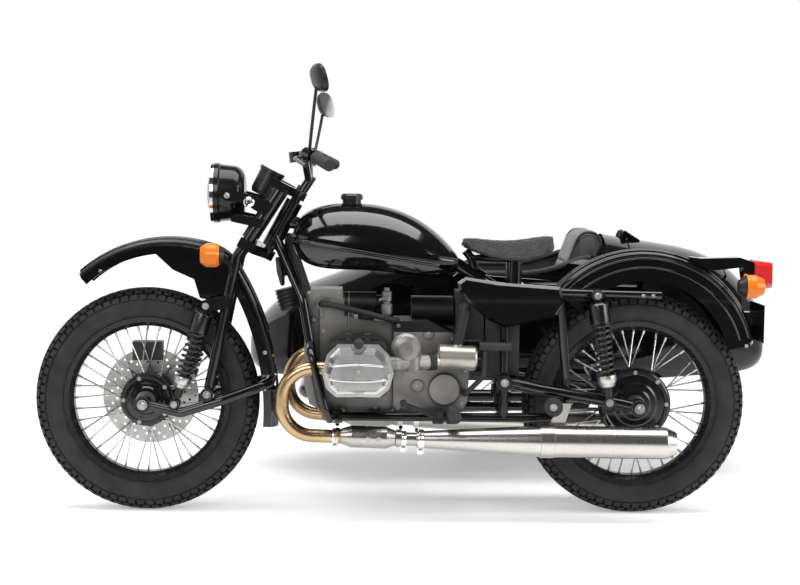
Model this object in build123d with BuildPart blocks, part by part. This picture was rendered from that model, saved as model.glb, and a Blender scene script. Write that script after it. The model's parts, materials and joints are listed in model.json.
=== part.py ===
from build123d import *
import os
from math import cos, radians, sin, tan

# Sidecar motorcycle, flat-twin outfit with a leading-link fork.
# Everything is drawn in bike axes, in millimetres: x forward from the rear axle,
# y to the rider's left from the bike's middle plane, z up from the ground.
# One move at the end carries it to the shared frame, whose origin is the middle
# of the whole outfit on the ground.

# Overall reach, which places the shared frame
WHEELBASE = 1503
TYRE_R = 345
TYRE_HALF = 52
TUB_TAIL = -535
GRIP_REACH = 404
SIDECAR_TRACK = 1140
SIDECAR_LEAD = 280
SIDECAR_FENDER_HALF = 74
FRONT_END = WHEELBASE + TYRE_R
RIGHT_END = -(SIDECAR_TRACK + SIDECAR_FENDER_HALF + 26)
SIDECAR_FENDER_R = 402
SIDECAR_LAMP_LEAN = 50
SIDECAR_LAMP_STEM = 56
ROW_X = -(FRONT_END + TUB_TAIL) / 2
ROW_Y = -(GRIP_REACH + RIGHT_END) / 2

# Wheels
RIM_R = 255
RIM_BED_R = 243
RIM_INNER_R = 227
RIM_HALF = 38
SPOKES = 40
SPOKE_R = 2.3
HUB_CORE_R = 34
FRONT_FLANGE_R = 80
DRUM_R = 112
AXLE_R = 8.5
AXLE_PLAY = 0.05
DISC_R = 149
DISC_Y = -62

# Steering head and fork
RAKE = 28
TRAIL = 60
HEAD_TUBE_R = 27
STEM_R = 15
HEAD_LOW_Z = 818
HEAD_TOP_Z = 958
LEG_Y = 92
LEG_R = 16
LEG_COVER_R = 22
LEG_TOP = (1094, 995)
LEG_BEND = (1226, 788)
LEG_FOOT = (1310, 375)
LINK_Y = 126
LINK_R = 15
LINK_LOOP_X = 1124
FORK_SHOCK_Y = 100
FORK_SHOCK_TOP = (1316, 643)
FORK_SHOCK_LOW = (1409, 345)
CALIPER_X = 1512
CALIPER_Z = 486

# Spring legs
COIL_PITCH = 17
COIL_WIRE = 5
DAMPER_R = 16

# Front fender, one crown line of three arcs that flow into each other
FENDER_SHEET = 2.5
FENDER_LIP = 4
FRONT_FENDER_HALF = 68
FRONT_FENDER_TIP = (1713.4, 735)
FRONT_FENDER_HEADING = 137.5
FRONT_FENDER_ARCS = ((415, 62), (130, 38), (840, 36))
FRONT_FENDER_CROWN = 22
FRONT_FENDER_DEPTH = 46

# Rear fender, one round arc
REAR_FENDER_X = -22
REAR_FENDER_Z = 463
REAR_FENDER_R = 356
REAR_FENDER_HALF = 76
REAR_FENDER_FROM = 40
REAR_FENDER_TO = 168
REAR_FENDER_CROWN = 22
REAR_FENDER_DEPTH = 92

# Lamps, gauge, bars
LAMP_Z = 982
LAMP_R = 92
LAMP_FRONT = 1302
LAMP_BACK = 1206
GAUGE_R = 40
GAUGE_LOW = (1158, 978)
GAUGE_TOP = (1120, 1054)
BAR_R = 11
GRIP_R = 17
MIRROR_L_Z = 1320
MIRROR_R_Z = 1262
MIRROR_TURN = 20
BLINKER_R = 36
FRONT_BLINKER = (1290, 190, 801)
REAR_BLINKER = (-330, 130, 717)

# Frame
RAIL_Y = 120
RAIL_Z = 310
LOOP_Y = 92
TUBE_R = 14
SUB_R = 12
BACKBONE_R = 20
PIVOT_X = 410
PIVOT_Z = 420

# Engine
CRANK_Z = 477
LEFT_CYL_X = 853
RIGHT_CYL_X = 815
CASE_HALF = 104
HEAD_FACE_Y = 345
COVER_Y = 400
FIN = 3.2
BARREL_FINS = 8
HEAD_FINS = 7

# Exhaust
HEADER_R = 20
HEADER_Y = 232
MUFFLER_Y = 198
MUFFLER_Z = 250
MUFFLER_R = 48
MUFFLER_FRONT = 672
MUFFLER_TAIL = -77
HANGER_Y = 164

# Tank and saddle
TANK_TOP = 955
CAP_X = 878
CAP_R = 34
SADDLE_TOP = 846

# Rear suspension
SWING_Y = 128
SWING_R = 18
REAR_SHOCK_Y = 158
REAR_SHOCK_TOP = (135, 689)
REAR_SHOCK_LOW = (93, 364)

# Sidecar
TUB_Y = -710
TUB_WALL = 4
TUB_FLOOR = 350
SIDE_RAIL_Z = 300
SIDE_TUBE_R = 20
SIDE_LEFT_Y = -440
SIDE_RIGHT_Y = -990
SIDE_FRONT_X = 1040
SIDE_REAR_X = -180
ARM_Y = -1048
TOWER_Y = -1010
LID_FRONT = -70
LID_REAR = -395
LID_HALF = 205
LID_GAP = 5.5
COCKPIT_FRONT = 790
COCKPIT_HALF = 236
RIM_Z = 714
PEAK_X = 12
PEAK_Z = 832

# Number plate bracket
PLATE_X = -384
PLATE_Z = 600
PLATE_W = 190
PLATE_H = 116
PLATE_HOLES = 146
PLATE_HOLE_R = 3.3

SEAT_GAP = 0.3
ROW = Location((ROW_X, ROW_Y, 0))
os.makedirs("parts", exist_ok=True)


def write(piece, name):
    """Move a finished piece to the shared frame, label it and write its file."""
    moved = piece.part.moved(ROW)
    moved.label = name
    export_step(moved, f"parts/{name}.step")


def side(y):
    """A sketch plane across the bike at this y, drawn in x and z."""
    return Plane.XZ.offset(-y)


def rod(start, end, radius):
    """A straight round bar between two points."""
    run = Vector(*end) - Vector(*start)
    with BuildPart() as bar:
        with BuildSketch(Plane(origin=start, z_dir=run)):
            Circle(radius)
        extrude(amount=run.length)
    return bar.part


def tube(points, radius, bend=50):
    """A round bar along straight runs joined by round bends."""
    if len(points) == 2:
        return rod(points[0], points[1], radius)
    first = Vector(*points[1]) - Vector(*points[0])
    with BuildPart() as bar:
        with BuildLine():
            FilletPolyline(*points, radius=bend)
        with BuildSketch(Plane(origin=points[0], z_dir=first)):
            Circle(radius)
        sweep()
    return bar.part


def flip(points):
    """The same points on the other side of the bike."""
    return [(x, -y, z) for x, y, z in points]


def plate(outline, y_from, y_to):
    """A flat plate drawn in x and z, between two values of y."""
    with BuildPart() as sheet:
        with BuildSketch(side(y_to)):
            with BuildLine():
                Polyline(*outline, close=True)
            make_face()
        extrude(amount=y_to - y_from)
    return sheet.part


def block(x0, x1, y0, y1, z0, z1):
    """A square block between two corners."""
    with BuildPart() as box:
        with Locations(((x0 + x1) / 2, (y0 + y1) / 2, (z0 + z1) / 2)):
            Box(x1 - x0, y1 - y0, z1 - z0)
    return box.part


def ball(x, y, z, radius):
    """A round ball."""
    with BuildPart() as orb:
        with Locations((x, y, z)):
            Sphere(radius)
    return orb.part


def head_x(z):
    """Where the steering axis lies at this height."""
    return WHEELBASE + TRAIL - z * tan(radians(RAKE))


def channel(where, half, crown, depth):
    """The cut through a fender on a plane: crown arc, square skirts with a rolled lip, even sheet."""
    inner = half - FENDER_SHEET
    low = crown + FENDER_SHEET
    with BuildSketch(where) as cut:
        with BuildLine():
            ThreePointArc((-half, crown), (0, 0), (half, crown))
            Polyline((half, crown), (half, depth - FENDER_LIP), (half + FENDER_LIP, depth - FENDER_LIP),
                     (half + FENDER_LIP, depth), (inner, depth), (inner, low))
            ThreePointArc((inner, low), (0, FENDER_SHEET), (-inner, low))
            Polyline((-inner, low), (-inner, depth), (-half - FENDER_LIP, depth),
                     (-half - FENDER_LIP, depth - FENDER_LIP), (-half, depth - FENDER_LIP), (-half, crown))
        make_face()
    return cut.sketch


TURN = Axis((0, 0, 0), (0, -1, 0))


def fender_arc(radius, start, stop, half, crown, depth):
    """A fender of one round arc about the origin, from start to stop in degrees."""
    cut = channel(Plane(origin=(radius, 0, 0), x_dir=(0, 1, 0), z_dir=(0, 0, 1)), half, crown, depth)
    with BuildPart() as arc:
        add(cut)
        revolve(axis=TURN, revolution_arc=stop - start)
    return arc.part.rotate(TURN, start)


def arc_chain(start, heading, arcs):
    """Points of arcs that flow into each other in x and z: (first, middle, last) of each."""
    (x, z), chain = start, []
    for radius, sweep_deg in arcs:
        cx, cz = x + radius * cos(radians(heading + 90)), z + radius * sin(radians(heading + 90))
        trio = []
        for part_way in (0, 0.5, 1):
            turn = radians(heading - 90 + sweep_deg * part_way)
            trio.append((cx + radius * cos(turn), 0, cz + radius * sin(turn)))
        chain.append(trio)
        x, z, heading = trio[2][0], trio[2][2], heading + sweep_deg
    return chain


def lathe(profile, origin, direction):
    """A turned piece: profile of (radius, distance along) points about a line."""
    with BuildPart() as turned:
        with BuildSketch(Plane.XZ):
            with BuildLine():
                Polyline(*profile, close=True)
            make_face()
        revolve(axis=Axis.Z)
    return turned.part.moved(Location(Plane(origin=origin, z_dir=direction)))


def spring_leg(top, low, y, cap, body):
    """A spring leg between two eyes at this y: eyes, cap, turns of the coil on the damper, foot."""
    run = Vector(low[0] - top[0], 0, low[1] - top[1])
    length = run.length
    turns = round((length - 74 - 92) / COIL_PITCH)
    pitch = (length - 74 - 92) / turns
    profile = [(0, 12), (10, 12), (10, 22), (cap - 3, 24), (cap, 28), (cap, 86), (DAMPER_R, 86)]
    for i in range(turns):
        middle = 92 + pitch * (i + 0.5)
        profile += [(DAMPER_R, middle - COIL_WIRE), (body, middle - COIL_WIRE / 2),
                    (body, middle + COIL_WIRE / 2), (DAMPER_R, middle + COIL_WIRE)]
    profile += [(DAMPER_R, length - 72), (body, length - 72), (body - 8, length - 52), (9, length - 48),
                (9, length - 12), (0, length - 12)]
    leg = lathe(profile, (top[0], y, top[1]), run)
    eyes = [rod((p[0], y - 11, p[1]), (p[0], y + 11, p[1]), 17) for p in (top, low)]
    with BuildPart() as whole:
        add(leg)
        add(eyes)
    return whole.part


def spring_pair(top, low, y, cap, body):
    """Two spring legs, one on each side of the bike."""
    legs = [spring_leg(top, low, s * y, cap, body) for s in (-1, 1)]
    with BuildPart() as pair:
        add(legs)
    return pair


# Tyres and wire wheels, drawn about the origin and then copied to three places
TYRE_BANDS = (  # radius, distance from the middle plane, from the bead to the tread
    (RIM_BED_R + 0.5, 30),
    (RIM_R, 33),
    (296, TYRE_HALF),
    (328, 44),
    (TYRE_R, 18),
)
with BuildPart() as tyre:
    with BuildSketch(Plane.XY):
        with BuildLine():
            Polyline(*TYRE_BANDS, *[(r, -y) for r, y in reversed(TYRE_BANDS)], close=True)
        make_face()
    revolve(axis=Axis.Y)


def wire_wheel(flange_left, flange_right, left_y, right_y, hub_left, hub_right):
    """Rim, crossed spokes and hub as one solid, bored for its axle."""
    spokes = []
    for i in range(SPOKES):
        angle = 360 * i / SPOKES
        on_left = i % 2 == 0
        lean = 28 if (i // 2) % 2 == 0 else -28
        r_hub, y_hub = (flange_left - 6, left_y) if on_left else (flange_right - 6, right_y)
        a, b = radians(angle + lean * 40 / r_hub), radians(angle)
        y_rim = 6 if on_left else -6
        start = Vector(r_hub * cos(a), y_hub, r_hub * sin(a))
        end = Vector((RIM_INNER_R + 3) * cos(b), y_rim, (RIM_INNER_R + 3) * sin(b))
        with BuildPart() as spoke:
            with BuildSketch(Plane(origin=start, z_dir=end - start)):
                RegularPolygon(SPOKE_R, 6)
            extrude(amount=(end - start).length)
        spokes.append(spoke.part)
    with BuildPart() as wheel:
        with BuildSketch(Plane.XY):
            with BuildLine():
                Polyline((RIM_R, -RIM_HALF), (RIM_R, -33.5), (RIM_BED_R, -30.5), (RIM_BED_R, 30.5),
                         (RIM_R, 33.5), (RIM_R, RIM_HALF), (RIM_BED_R - 3, RIM_HALF - 2),
                         (RIM_INNER_R, 17), (RIM_INNER_R, -17), (RIM_BED_R - 3, -RIM_HALF + 2), close=True)
            make_face()
        revolve(axis=Axis.Y)
        with BuildSketch(Plane.XY):
            with BuildLine():
                Polyline((AXLE_R + AXLE_PLAY, hub_right), (AXLE_R + AXLE_PLAY, hub_left), (30, hub_left),
                         (30, left_y + 10), (flange_left, left_y + 6), (flange_left, left_y - 6),
                         (HUB_CORE_R, left_y - 14), (HUB_CORE_R, right_y + 14),
                         (flange_right, right_y + 6), (flange_right, right_y - 6), (30, right_y - 10),
                         (30, hub_right), close=True)
            make_face()
        revolve(axis=Axis.Y)
        add(spokes)
    return wheel.part


front_wheel_solid = wire_wheel(FRONT_FLANGE_R, FRONT_FLANGE_R, 40, -40, 70, -70)
drum_wheel_solid = wire_wheel(DRUM_R, DRUM_R - 14, 42, -42, 70, -70)
WHEELS = (  # name, x, y, solid
    ("front", WHEELBASE, 0, front_wheel_solid),
    ("rear", 0, 0, drum_wheel_solid),
    ("sidecar", SIDECAR_LEAD, -SIDECAR_TRACK, drum_wheel_solid),
)
for name, x, y, solid in WHEELS:
    with BuildPart() as one_tyre:
        add(tyre.part.moved(Location((x, y, TYRE_R))))
    write(one_tyre, f"{name}_tyre")
    with BuildPart() as one_wheel:
        add(solid.moved(Location((x, y, TYRE_R))))
    write(one_wheel, f"{name}_wheel")

# Front brake disc, on the hub's right end
DISC_HOLES = (  # ring radius, count, first angle
    (138, 20, 0),
    (122, 20, 6),
    (106, 20, 12),
)
with BuildPart() as front_disc:
    with BuildSketch(side(DISC_Y + 2.5)):
        with Locations((WHEELBASE, TYRE_R)):
            Circle(DISC_R)
            Circle(30 + SEAT_GAP, mode=Mode.SUBTRACT)
            for ring, count, start in DISC_HOLES:
                with PolarLocations(ring, count, start):
                    Circle(4, mode=Mode.SUBTRACT)
    extrude(amount=5)
write(front_disc, "front_disc")

# Link arm loop with the front axle, and the legs that carry it
link_path = [(WHEELBASE, LINK_Y, TYRE_R), (1390, LINK_Y, 318), (1268, LINK_Y, 356), (1150, 88, 396),
             (LINK_LOOP_X, 60, 404), (LINK_LOOP_X, 0, 404)]
link_bars = [tube(path, LINK_R, 26) for path in (link_path, flip(link_path))]
link_bosses = []
for s in (-1, 1):
    link_bosses.append(rod((WHEELBASE, s * (LINK_Y - 16), TYRE_R), (WHEELBASE, s * (LINK_Y + 16), TYRE_R), 24))
    link_bosses.append(rod((LEG_FOOT[0], s * (LEG_Y + LEG_R + SEAT_GAP), LEG_FOOT[1]),
                           (LEG_FOOT[0], s * (LINK_Y + 17), LEG_FOOT[1]), 20))
    link_bosses.append(rod((FORK_SHOCK_LOW[0], s * (FORK_SHOCK_Y + 11 + SEAT_GAP), FORK_SHOCK_LOW[1]),
                           (FORK_SHOCK_LOW[0], s * (LINK_Y + 18), FORK_SHOCK_LOW[1]), 14))
with BuildPart() as link_arm:
    add(link_bars)
    add(link_bosses)
    add(rod((WHEELBASE, -LINK_Y - 28, TYRE_R), (WHEELBASE, LINK_Y + 28, TYRE_R), AXLE_R))
    for s in (-1, 1):
        add(rod((WHEELBASE, s * LINK_Y, TYRE_R), (WHEELBASE, s * (LINK_Y + 26), TYRE_R), 16))
write(link_arm, "link_arm")

fork_bits = []
for s in (-1, 1):
    leg_line = [(x, s * LEG_Y, z) for x, z in (LEG_TOP, LEG_BEND, LEG_FOOT)]
    fork_bits.append(tube(leg_line, LEG_R, 60))
    top, bend = Vector(*leg_line[0]), Vector(*leg_line[1])
    fork_bits.append(rod(tuple(top), tuple(top + (bend - top) * 0.72), LEG_COVER_R))
    fork_bits.append(rod((1256, s * LEG_Y, 655), (1256, s * (FORK_SHOCK_Y + 22), 655), 15))
    fork_bits.append(plate([(1240, 668), (1262, 676), (1330, 658), (1334, 632), (1312, 624), (1250, 636)],
                           min(s * (FORK_SHOCK_Y + 11.3), s * (FORK_SHOCK_Y + 22)),
                           max(s * (FORK_SHOCK_Y + 11.3), s * (FORK_SHOCK_Y + 22))))
    fork_bits.append(ball(LEG_FOOT[0], s * LEG_Y, LEG_FOOT[1], LEG_R))
stem_low, stem_top = (head_x(790), 0, 790), (head_x(1004), 0, 1004)
axis_dir = Vector(-sin(radians(RAKE)), 0, cos(radians(RAKE)))
with BuildPart() as fork:
    add(fork_bits)
    add(rod(stem_low, stem_top, STEM_R))
    for z_mid, thick, bay in ((HEAD_LOW_Z - 20, 30, -50), (HEAD_TOP_Z + 22, 26, -20)):
        yoke = Plane(origin=(head_x(z_mid), 0, z_mid), x_dir=(0, 1, 0), z_dir=axis_dir)
        with BuildSketch(yoke):
            reach = -66
            with BuildLine():
                Polyline((-22, 24), (22, 24), (36, 2), (LEG_Y + 26, reach + 30), (LEG_Y + 26, reach - 22),
                         (LEG_Y - 26, reach - 22), (LEG_Y - 42, bay), (42 - LEG_Y, bay), (26 - LEG_Y, reach - 22),
                         (-LEG_Y - 26, reach - 22), (-LEG_Y - 26, reach + 30), (-36, 2), close=True)
            make_face()
        extrude(amount=thick / 2, both=True)
write(fork, "fork")

write(spring_pair(FORK_SHOCK_TOP, FORK_SHOCK_LOW, FORK_SHOCK_Y, 29, 27), "front_shocks")

# Front fender: swept channel, side valances, bosses to the legs, room for the link loop
crown_line = arc_chain(FRONT_FENDER_TIP, FRONT_FENDER_HEADING, FRONT_FENDER_ARCS)
heading = radians(FRONT_FENDER_HEADING)
tip_plane = Plane(origin=crown_line[0][0], x_dir=(0, 1, 0), z_dir=(cos(heading), 0, sin(heading)))
front_cut = channel(tip_plane, FRONT_FENDER_HALF, FRONT_FENDER_CROWN, FRONT_FENDER_DEPTH)
with BuildPart() as front_fender:
    with BuildLine():
        for first, middle, last in crown_line:
            ThreePointArc(first, middle, last)
    add(front_cut)
    sweep()
    for s in (-1, 1):
        edges = sorted((s * FRONT_FENDER_HALF, s * (FRONT_FENDER_HALF - FENDER_SHEET)))
        add(plate([(1490, 812), (1420, 748), (1356, 720), (1338, 663), (1240, 640), (1222, 724), (1290, 800)],
                  *edges))
        add(rod((1243, s * (FRONT_FENDER_HALF - 2), 706), (1243, s * (LEG_Y - LEG_R - SEAT_GAP), 706), 12))
    add(block(LINK_LOOP_X - 17, LINK_LOOP_X + 60, -110, 110, 380, 428), mode=Mode.SUBTRACT)
write(front_fender, "front_fender")

# Front brake caliper with the plate that holds it to the axle
with BuildPart() as caliper:
    add(block(CALIPER_X - 46, CALIPER_X + 46, DISC_Y - 30, DISC_Y + 22, CALIPER_Z - 28, CALIPER_Z + 30))
    add(block(CALIPER_X - 60, CALIPER_X + 60, DISC_Y - 8, DISC_Y + 8, CALIPER_Z - 100, CALIPER_Z + 16),
        mode=Mode.SUBTRACT)
    add(plate([(WHEELBASE - 26, TYRE_R - 24), (WHEELBASE + 26, TYRE_R - 24), (CALIPER_X + 40, CALIPER_Z - 20),
               (CALIPER_X - 40, CALIPER_Z - 20)], DISC_Y - 38, DISC_Y - 29))
    add(rod((WHEELBASE, -LINK_Y + 16 + SEAT_GAP, TYRE_R), (WHEELBASE, DISC_Y - 29, TYRE_R), 24))
    with Locations(Location((WHEELBASE, 0, TYRE_R), (90, 0, 0))):
        Cylinder(AXLE_R + AXLE_PLAY, 400, mode=Mode.SUBTRACT)
write(caliper, "brake_caliper")

# Headlamp shell with its two ears, lens, gauge
with BuildPart() as headlamp:
    with BuildSketch(Plane.XZ):
        with BuildLine():
            Polyline((LAMP_FRONT, LAMP_Z), (LAMP_FRONT, LAMP_Z + LAMP_R - 6), (LAMP_FRONT + 6, LAMP_Z + LAMP_R),
                     (LAMP_FRONT - 18, LAMP_Z + LAMP_R), (LAMP_FRONT - 22, LAMP_Z + LAMP_R - 4))
            Line((LAMP_FRONT - 22, LAMP_Z + LAMP_R - 4), (LAMP_FRONT - 62, LAMP_Z + LAMP_R - 8))
            ThreePointArc((LAMP_FRONT - 62, LAMP_Z + LAMP_R - 8), (LAMP_FRONT - 84, LAMP_Z + LAMP_R - 18),
                          (LAMP_BACK, LAMP_Z + 38))
            Polyline((LAMP_BACK, LAMP_Z + 38), (LAMP_BACK, LAMP_Z), (LAMP_FRONT, LAMP_Z))
        make_face()
    revolve(axis=Axis((0, 0, LAMP_Z), (1, 0, 0)))
    for s in (-1, 1):
        ears = sorted((s * (LEG_Y + LEG_COVER_R - 4), s * (LEG_Y + LEG_COVER_R + 2)))
        add(plate([(1246, 994), (1262, 992), (1270, 976), (1260, 962), (1204, 954), (1150, 922), (1128, 926),
                   (1112, 950), (1136, 966), (1196, 984)], *ears))
        add(plate([(1242, 900), (1228, 896), (1152, 880), (1138, 904), (1170, 912), (1228, 924)], *ears))
        add(rod((1252, s * 60, 977), (1252, s * (LEG_Y + LEG_COVER_R + 10), 977), 11))
        add(rod((1234, s * 40, 910), (1234, s * (LEG_Y + LEG_COVER_R + 6), 910), 8))
    for s in (-1, 1):
        leg_line = [(x, s * LEG_Y, z) for x, z in (LEG_TOP, LEG_BEND)]
        add(rod(leg_line[0], leg_line[1], LEG_COVER_R + SEAT_GAP), mode=Mode.SUBTRACT)
write(headlamp, "headlamp")

with BuildPart() as headlamp_lens:
    with BuildSketch(Plane.XZ):
        with BuildLine():
            ThreePointArc((LAMP_FRONT + 20, LAMP_Z), (LAMP_FRONT + 15, LAMP_Z + 46),
                          (LAMP_FRONT + SEAT_GAP, LAMP_Z + LAMP_R - 8))
            Polyline((LAMP_FRONT + SEAT_GAP, LAMP_Z + LAMP_R - 8), (LAMP_FRONT + SEAT_GAP, LAMP_Z),
                     (LAMP_FRONT + 20, LAMP_Z))
        make_face()
    revolve(axis=Axis((0, 0, LAMP_Z), (1, 0, 0)))
write(headlamp_lens, "headlamp_lens")

gauge_run = Vector(GAUGE_TOP[0] - GAUGE_LOW[0], 0, GAUGE_TOP[1] - GAUGE_LOW[1])
with BuildPart() as gauge:
    add(lathe([(0, 0), (GAUGE_R - 8, 0), (GAUGE_R - 3, 12), (GAUGE_R - 3, gauge_run.length - 12),
               (GAUGE_R, gauge_run.length - 11), (GAUGE_R, gauge_run.length), (0, gauge_run.length)],
              (GAUGE_LOW[0], 0, GAUGE_LOW[1]), gauge_run))
    add(plate([(1063.8, 982.6), (1056.3, 996.7), (1098, 1020), (1108, 1000)], -14, 14))
write(gauge, "gauge")

# Handlebar with risers and levers, grips, mirrors, front blinkers
bar_path = [(1010, 0, 1030), (1010, 70, 1030), (1016, 190, 1086), (986, 270, 1096), (940, GRIP_REACH - 4, 1072)]
bar_bits = [tube(path, BAR_R, 30) for path in (bar_path, flip(bar_path))]
for s in (-1, 1):
    bar_bits.append(rod((1000, s * 42, 1036), (1030, s * 42, 990), 14))
    bar_bits.append(tube([(1003, s * 246, 1094), (1046, s * 262, 1092), (1006, s * 388, 1070)], 6, 20))
    bar_bits.append(rod((1010, s * 238, 1104), (988, s * 272, 1094), 21))
with BuildPart() as handlebar:
    add(bar_bits)
    add(rod((1058, -262, 1078), (1062, -262, 1112), 24))
    yoke = Plane(origin=(head_x(HEAD_TOP_Z + 22), 0, HEAD_TOP_Z + 22), x_dir=(0, 1, 0), z_dir=axis_dir)
    with BuildSketch(yoke.offset(-200)):
        Rectangle(400, 700)
    extrude(amount=213 + SEAT_GAP, mode=Mode.SUBTRACT)
    for s in (-1, 1):
        inner = Vector(986, s * 270, 1096)
        outer = Vector(940, s * (GRIP_REACH - 4), 1072)
        near = inner + (outer - inner) * 0.1
        add(rod(tuple(near), tuple(outer + (outer - inner)), GRIP_R + 2), mode=Mode.SUBTRACT)
        add(rod(tuple(near - (outer - inner) * 0.02), tuple(outer), BAR_R))
write(handlebar, "handlebar")

grip_bits = []
for s in (-1, 1):
    inner = Vector(986, s * 270, 1096)
    outer = Vector(940, s * (GRIP_REACH - 4), 1072)
    near = inner + (outer - inner) * 0.11
    with BuildPart() as grip:
        add(rod(tuple(near), tuple(outer + (outer - inner).normalized() * 4), GRIP_R))
        add(rod(tuple(near), tuple(outer + (outer - inner).normalized() * SEAT_GAP), BAR_R + SEAT_GAP),
            mode=Mode.SUBTRACT)
    grip_bits.append(grip.part)
with BuildPart() as grips:
    add(grip_bits)
write(grips, "grips")

MIRRORS = (  # side, foot, knee, head x, head y, head z
    (1, (1000, 262, 1114 + SEAT_GAP), (990, 300, 1210), 972, 336, MIRROR_L_Z),
    (-1, (1000, -262, 1114 + SEAT_GAP), (988, -296, 1170), 970, -330, MIRROR_R_Z),
)
mirror_bits = []
for s, foot, knee, x, y, z in MIRRORS:
    mirror_bits.append(tube([foot, knee, (x + 4, y, z)], 5, 30))
    with BuildPart() as glass:
        turn = radians(s * MIRROR_TURN)
        facing = Vector(cos(turn), sin(turn), -0.27)
        with BuildSketch(Plane(origin=(x - 8, y, z), x_dir=(-sin(turn), cos(turn), 0), z_dir=facing)):
            RectangleRounded(118, 84, 34)
        extrude(amount=26, taper=32)
    mirror_bits.append(glass.part)
with BuildPart() as mirrors:
    add(mirror_bits)
    for s in (-1, 1):
        add(rod((1010, s * 238, 1104), (988, s * 272, 1094), 21 + SEAT_GAP), mode=Mode.SUBTRACT)
write(mirrors, "mirrors")

bx, by, bz = FRONT_BLINKER
with BuildPart() as front_blinkers:
    add(lathe([(0, -38), (20, -36), (BLINKER_R - 2, -16), (BLINKER_R, -14), (BLINKER_R, 16), (24, 34), (0, 36)],
              FRONT_BLINKER, (1, 0, 0)))
    add(tube([(bx - 24, by, bz), (bx - 50, by - 50, bz - 30), (1240, LEG_Y + 4, 730)], 7, 20))
    leg_line = [(x, LEG_Y, z) for x, z in (LEG_TOP, LEG_BEND, LEG_FOOT)]
    add(tube(leg_line, LEG_R + SEAT_GAP, 60), mode=Mode.SUBTRACT)
write(front_blinkers, "front_blinkers")

# Frame: head tube, backbone, double cradle, rear loop
FRAME_TUBES = (  # points on the left or the middle, radius, bend, both sides
    ([(head_x(HEAD_LOW_Z), 0, HEAD_LOW_Z), (head_x(HEAD_TOP_Z), 0, HEAD_TOP_Z)], HEAD_TUBE_R, 0, False),
    ([(head_x(900), 0, 900), (560, 0, 775), (440, 0, 700)], BACKBONE_R, 80, False),
    ([(head_x(848), 18, 848), (1024, 96, 663), (974, RAIL_Y, 392), (960, RAIL_Y, RAIL_Z), (340, RAIL_Y, RAIL_Z),
      (222, LOOP_Y, RAIL_Z), (218, LOOP_Y, 430), (244, RAIL_Y - 6, 690)], TUBE_R, 56, True),
    ([(472, 0, 722), (440, RAIL_Y, 694), (260, RAIL_Y, 694), (-64, RAIL_Y, 688)], SUB_R, 40, True),
    ([(PIVOT_X, RAIL_Y, RAIL_Z), (PIVOT_X, RAIL_Y, 694)], TUBE_R, 0, True),
    ([(420, -RAIL_Y + 4, 694), (420, RAIL_Y - 4, 694)], SUB_R - 2, 0, False),
    ([(310, -RAIL_Y + 4, 694), (310, RAIL_Y - 4, 694)], SUB_R - 2, 0, False),
    ([(PIVOT_X, -RAIL_Y, RAIL_Z), (PIVOT_X, RAIL_Y, RAIL_Z)], SUB_R, 0, False),
)
frame_bits = []
for points, radius, bend, both in FRAME_TUBES:
    frame_bits.append(tube(points, radius, bend))
    if both:
        frame_bits.append(tube(flip(points), radius, bend))
for s in (-1, 1):
    frame_bits.append(rod((REAR_SHOCK_TOP[0], s * (RAIL_Y - 6), REAR_SHOCK_TOP[1]),
                          (REAR_SHOCK_TOP[0], s * (REAR_SHOCK_Y - 11 - SEAT_GAP), REAR_SHOCK_TOP[1]), 15))
    frame_bits.append(rod((222, s * LOOP_Y, 346), (222, s * HANGER_Y, 346), 10))
    frame_bits.append(plate([(388, 400), (396, 452), (424, 452), (432, 400)],
                            *sorted((s * (RAIL_Y - 10), s * (RAIL_Y + 14)))))
with BuildPart() as frame:
    add(frame_bits)
    with Locations(Location((head_x(888), 0, 888), (0, -RAKE, 0))):
        Cylinder(STEM_R + 0.05, 400, mode=Mode.SUBTRACT)
    with Locations(Location((PIVOT_X, 0, PIVOT_Z), (90, 0, 0))):
        Cylinder(11 + 0.05, 400, mode=Mode.SUBTRACT)
write(frame, "frame")

# Engine: crankcase, gearbox, finned cylinders with heads, rocker covers
CASE_BOSSES = (  # x, z, radius, how far out
    (964, 648, 20, 76),
    (990, 600, 9, 74),
    (986, 424, 9, 74),
    (900, 322, 11, 84),
)
with BuildPart() as crankcase:
    with BuildSketch(Plane.XZ):
        with BuildLine():
            Polyline((746, 330), (780, 296), (960, 290), (972, 330), (972, 640), (900, 640), (868, 604),
                     (746, 596), close=True)
        make_face()
    extrude(amount=CASE_HALF - 26, both=True)
    with BuildSketch(Plane.XZ):
        with BuildLine():
            Polyline((960, 318), (1002, 340), (1019, 400), (1019, 520), (1012, 680), (1000, 692), (905, 692),
                     (896, 640), (960, 620), close=True)
        make_face()
    extrude(amount=70, both=True)
    for cx in (LEFT_CYL_X, RIGHT_CYL_X):
        turn = 1 if cx == LEFT_CYL_X else -1
        add(rod((cx, 0, CRANK_Z), (cx, turn * CASE_HALF, CRANK_Z), 88))
    for x in (800, 940):
        add(block(x - 18, x + 18, -RAIL_Y + TUBE_R + SEAT_GAP, RAIL_Y - TUBE_R - SEAT_GAP, 300, 322))
    add(rod((899, 34, 652), (800, 34, 652), 32))
    add(rod((800, 34, 652), (764, 34, 652), 22))
    add(block(806, 856, 10, 58, 590, 636))
    for x, z, radius, reach in CASE_BOSSES:
        add(rod((x, 60, z), (x, reach, z), radius))
    add(plate([(944, 646), (956, 650), (962, 400), (950, 396)], -76, 76))
write(crankcase, "crankcase")

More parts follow.
